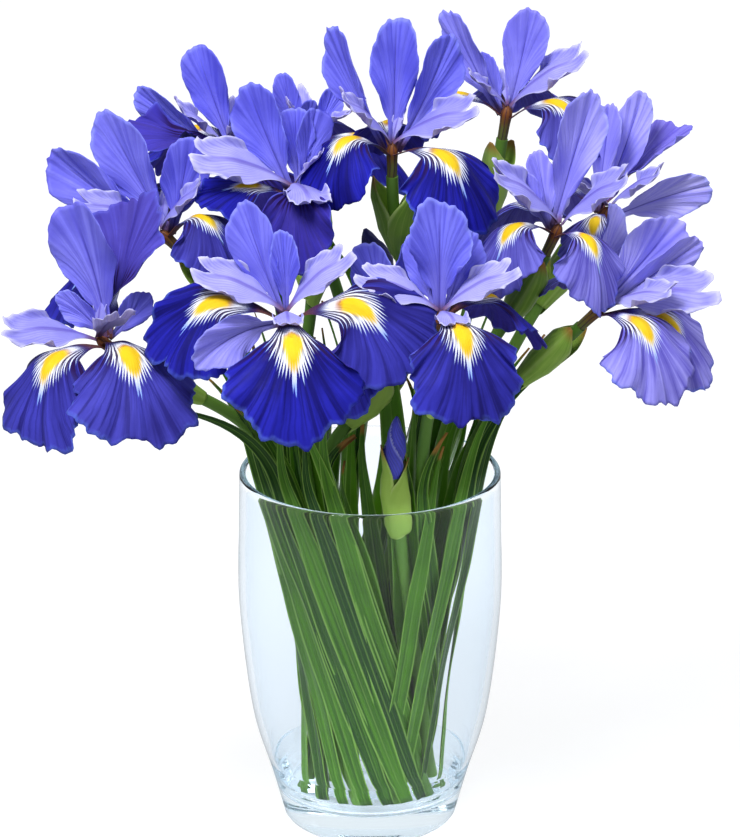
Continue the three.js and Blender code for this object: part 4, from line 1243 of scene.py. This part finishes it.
def arm(sheets, top, up, values, random):
    bearing, rise, size, roll, width = values
    rises = [(0, rise + 14), (0.45, rise), (0.75, rise - 18), (1, rise + 20)]
    spine = Spine(
        beside(top, up, heading(bearing, rise), ARM_ROOT), bearing, rises,
        (ARM["middle"] + ARM["radius"]) * size, roll,
    )
    waves = random.uniform(0, 2 * np.pi, 4)

    def frill(t):
        small = 0.035 * np.sin(17 * t + waves[0]) + 0.025 * np.sin(39 * t + waves[1])
        return small + 0.14 * np.exp(-(((np.abs(t) - 0.3) / 0.2) ** 2)) - 0.55 * np.exp(-((t / 0.1) ** 2))

    def form(x, y, u, t):
        roof = -0.04 * x * x
        curl = 4.0 * ease((u - 0.55) / 0.45) ** 2 * (0.35 + np.abs(t) ** 0.8)
        crimp = 0.8 * u**4 * np.sin(21 * t + waves[2])
        keel = 0.7 * np.exp(-((x / 1.3) ** 2)) * (1 - ease((y - 26) / 10))
        return roof + curl + crimp + keel

    petal(sheets, ARM, spine, form, frill, size, width, ARM_GRID, ARM_THICKNESS, random.uniform(0, 1))


def style_finish():
    finish = Finish("style arm")
    x, y, under = finish.attribute("pattern")
    t, s, tone = finish.attribute("veins")
    cloud = finish.noise(110.0, 3.0)
    fine = finish.noise(480.0, 2.0)
    veins = vein_lines(t, 10.0, (cloud - 0.5) * 0.6, 0.4)
    pale = (cloud * 0.8 + tone * 0.4 - 0.1).rising(0, 1)
    lilac = finish.mix(pale, (0.25, 0.24, 0.74, 1), (0.42, 0.41, 0.86, 1))
    lilac = finish.mix(veins * 0.4, lilac, (0.17, 0.15, 0.62, 1))
    lilac = finish.mix(abs(x).rising(1.3, 0.2) * y.rising(40, 26) * 0.7, lilac, (0.11, 0.08, 0.48, 1))
    reach = (s - CLAW_SHARE) / (1 - CLAW_SHARE)
    edge = reach.larger(abs(t)) + (fine - 0.5) * 0.06
    lilac = finish.mix(edge.rising(0.86, 1.0) * 0.6, lilac, (0.66, 0.66, 0.93, 1))
    lilac = finish.mix(under * 0.3, lilac, (0.36, 0.28, 0.66, 1))
    lilac = finish.mix((y + (cloud - 0.5) * 4).rising(8, 1) * 0.8, lilac, (0.16, 0.05, 0.10, 1))
    surface = finish.surface(
        Base_Color=lilac,
        Roughness=fine * 0.12 + 0.42,
        Specular_IOR_Level=0.25,
        Sheen_Weight=0.06,
        Sheen_Roughness=0.4,
        Normal=finish.bump(veins * 0.7 + fine * 0.3, 0.18, 0.5),
    )
    return finish.done(surface)


style_skin = style_finish()
for order, (name, (heart, lean, _, _)) in enumerate(IRISES.items()):
    random = np.random.default_rng(ARM_SEED + order)
    up = heading(*lean)
    top = heart + up * (ARM_HEIGHT + 0.3)
    arms = Sheets()
    for values in ARMS[name]:
        arm(arms, top, up, values, random)
    hand_over(arms.object("style_" + name, [style_skin]), "iris_" + name + "_style")

# ---------------------------------------------------------------------------------------------------------
# Buds. Petals still rolled into a pointed cone: each overlaps the next in a ridge that winds up it. A bud
# stands in the mouth of its sheath, on the end of its stem.
BUD_LENGTH = 28
# Share of the length, and radius
BUD_SHAPE = [(-0.12, 2.6), (0, 3.2), (0.35, 4.6), (0.7, 3.3), (0.9, 1.7), (1, 0.5)]
BUD_GRID = (48, 48)
BUD_TURNS = 0.55
BUD_PETALS = 3
# Girth and tone
BUD_LOOKS = {"bud_front": (1.1, 1), "bud_middle": (1.5, 0)}


def bud(name, base, lean, girth, tone, skin):
    up = heading(*lean)
    rows, around = BUD_GRID
    stations, radii = np.array(BUD_SHAPE).T
    share = np.linspace(stations[0], 1, rows)[:, None]
    angle = (np.arange(around) * 2 * np.pi / around)[None, :]
    fold = ((angle / (2 * np.pi) + share * BUD_TURNS) * BUD_PETALS) % 1
    radius = np.interp(share, stations, radii) * (0.9 + 0.2 * ease(fold) * (1 - ease((fold - 0.9) / 0.1)))
    middle = base + up * (share * BUD_LENGTH)[..., None]
    made = rolled("furled_" + name, middle + spokes(up, angle) * (radius * girth)[..., None], skin)
    write_vectors(made.data, "pattern", np.stack(np.broadcast_arrays(fold, share, 0 * fold + tone), -1))
    return made


def bud_finish():
    finish = Finish("furled petals")
    fold, _, tone = finish.attribute("pattern")
    cloud = finish.noise(120.0, 3.0)
    veins = vein_lines(fold, 6.0, cloud * 0.6, 0.35)
    dark = finish.mix(cloud, (0.012, 0.010, 0.12, 1), (0.035, 0.035, 0.30, 1))
    bright = finish.mix(cloud, (0.03, 0.034, 0.46, 1), (0.09, 0.105, 0.88, 1))
    blue = finish.mix(tone * 0.9, dark, bright)
    blue = finish.mix(veins * 0.35, blue, (0.02, 0.012, 0.20, 1))
    # Pale streaks along the ridges of the lighter bud: painted highlights
    blue = finish.mix(fold.rising(0.8, 0.95) * tone * 0.5, blue, (0.50, 0.55, 0.95, 1))
    surface = finish.surface(
        Base_Color=blue, Roughness=cloud * 0.1 + 0.45, Sheen_Weight=0.06, Normal=finish.bump(veins, 0.25, 0.6)
    )
    return finish.done(surface)


furled_skin = bud_finish()
for name, (base, lean, _, _) in BUDS.items():
    furled = bud(name, base, lean, *BUD_LOOKS[name], furled_skin)
    hand_over(furled, name + "_petals")
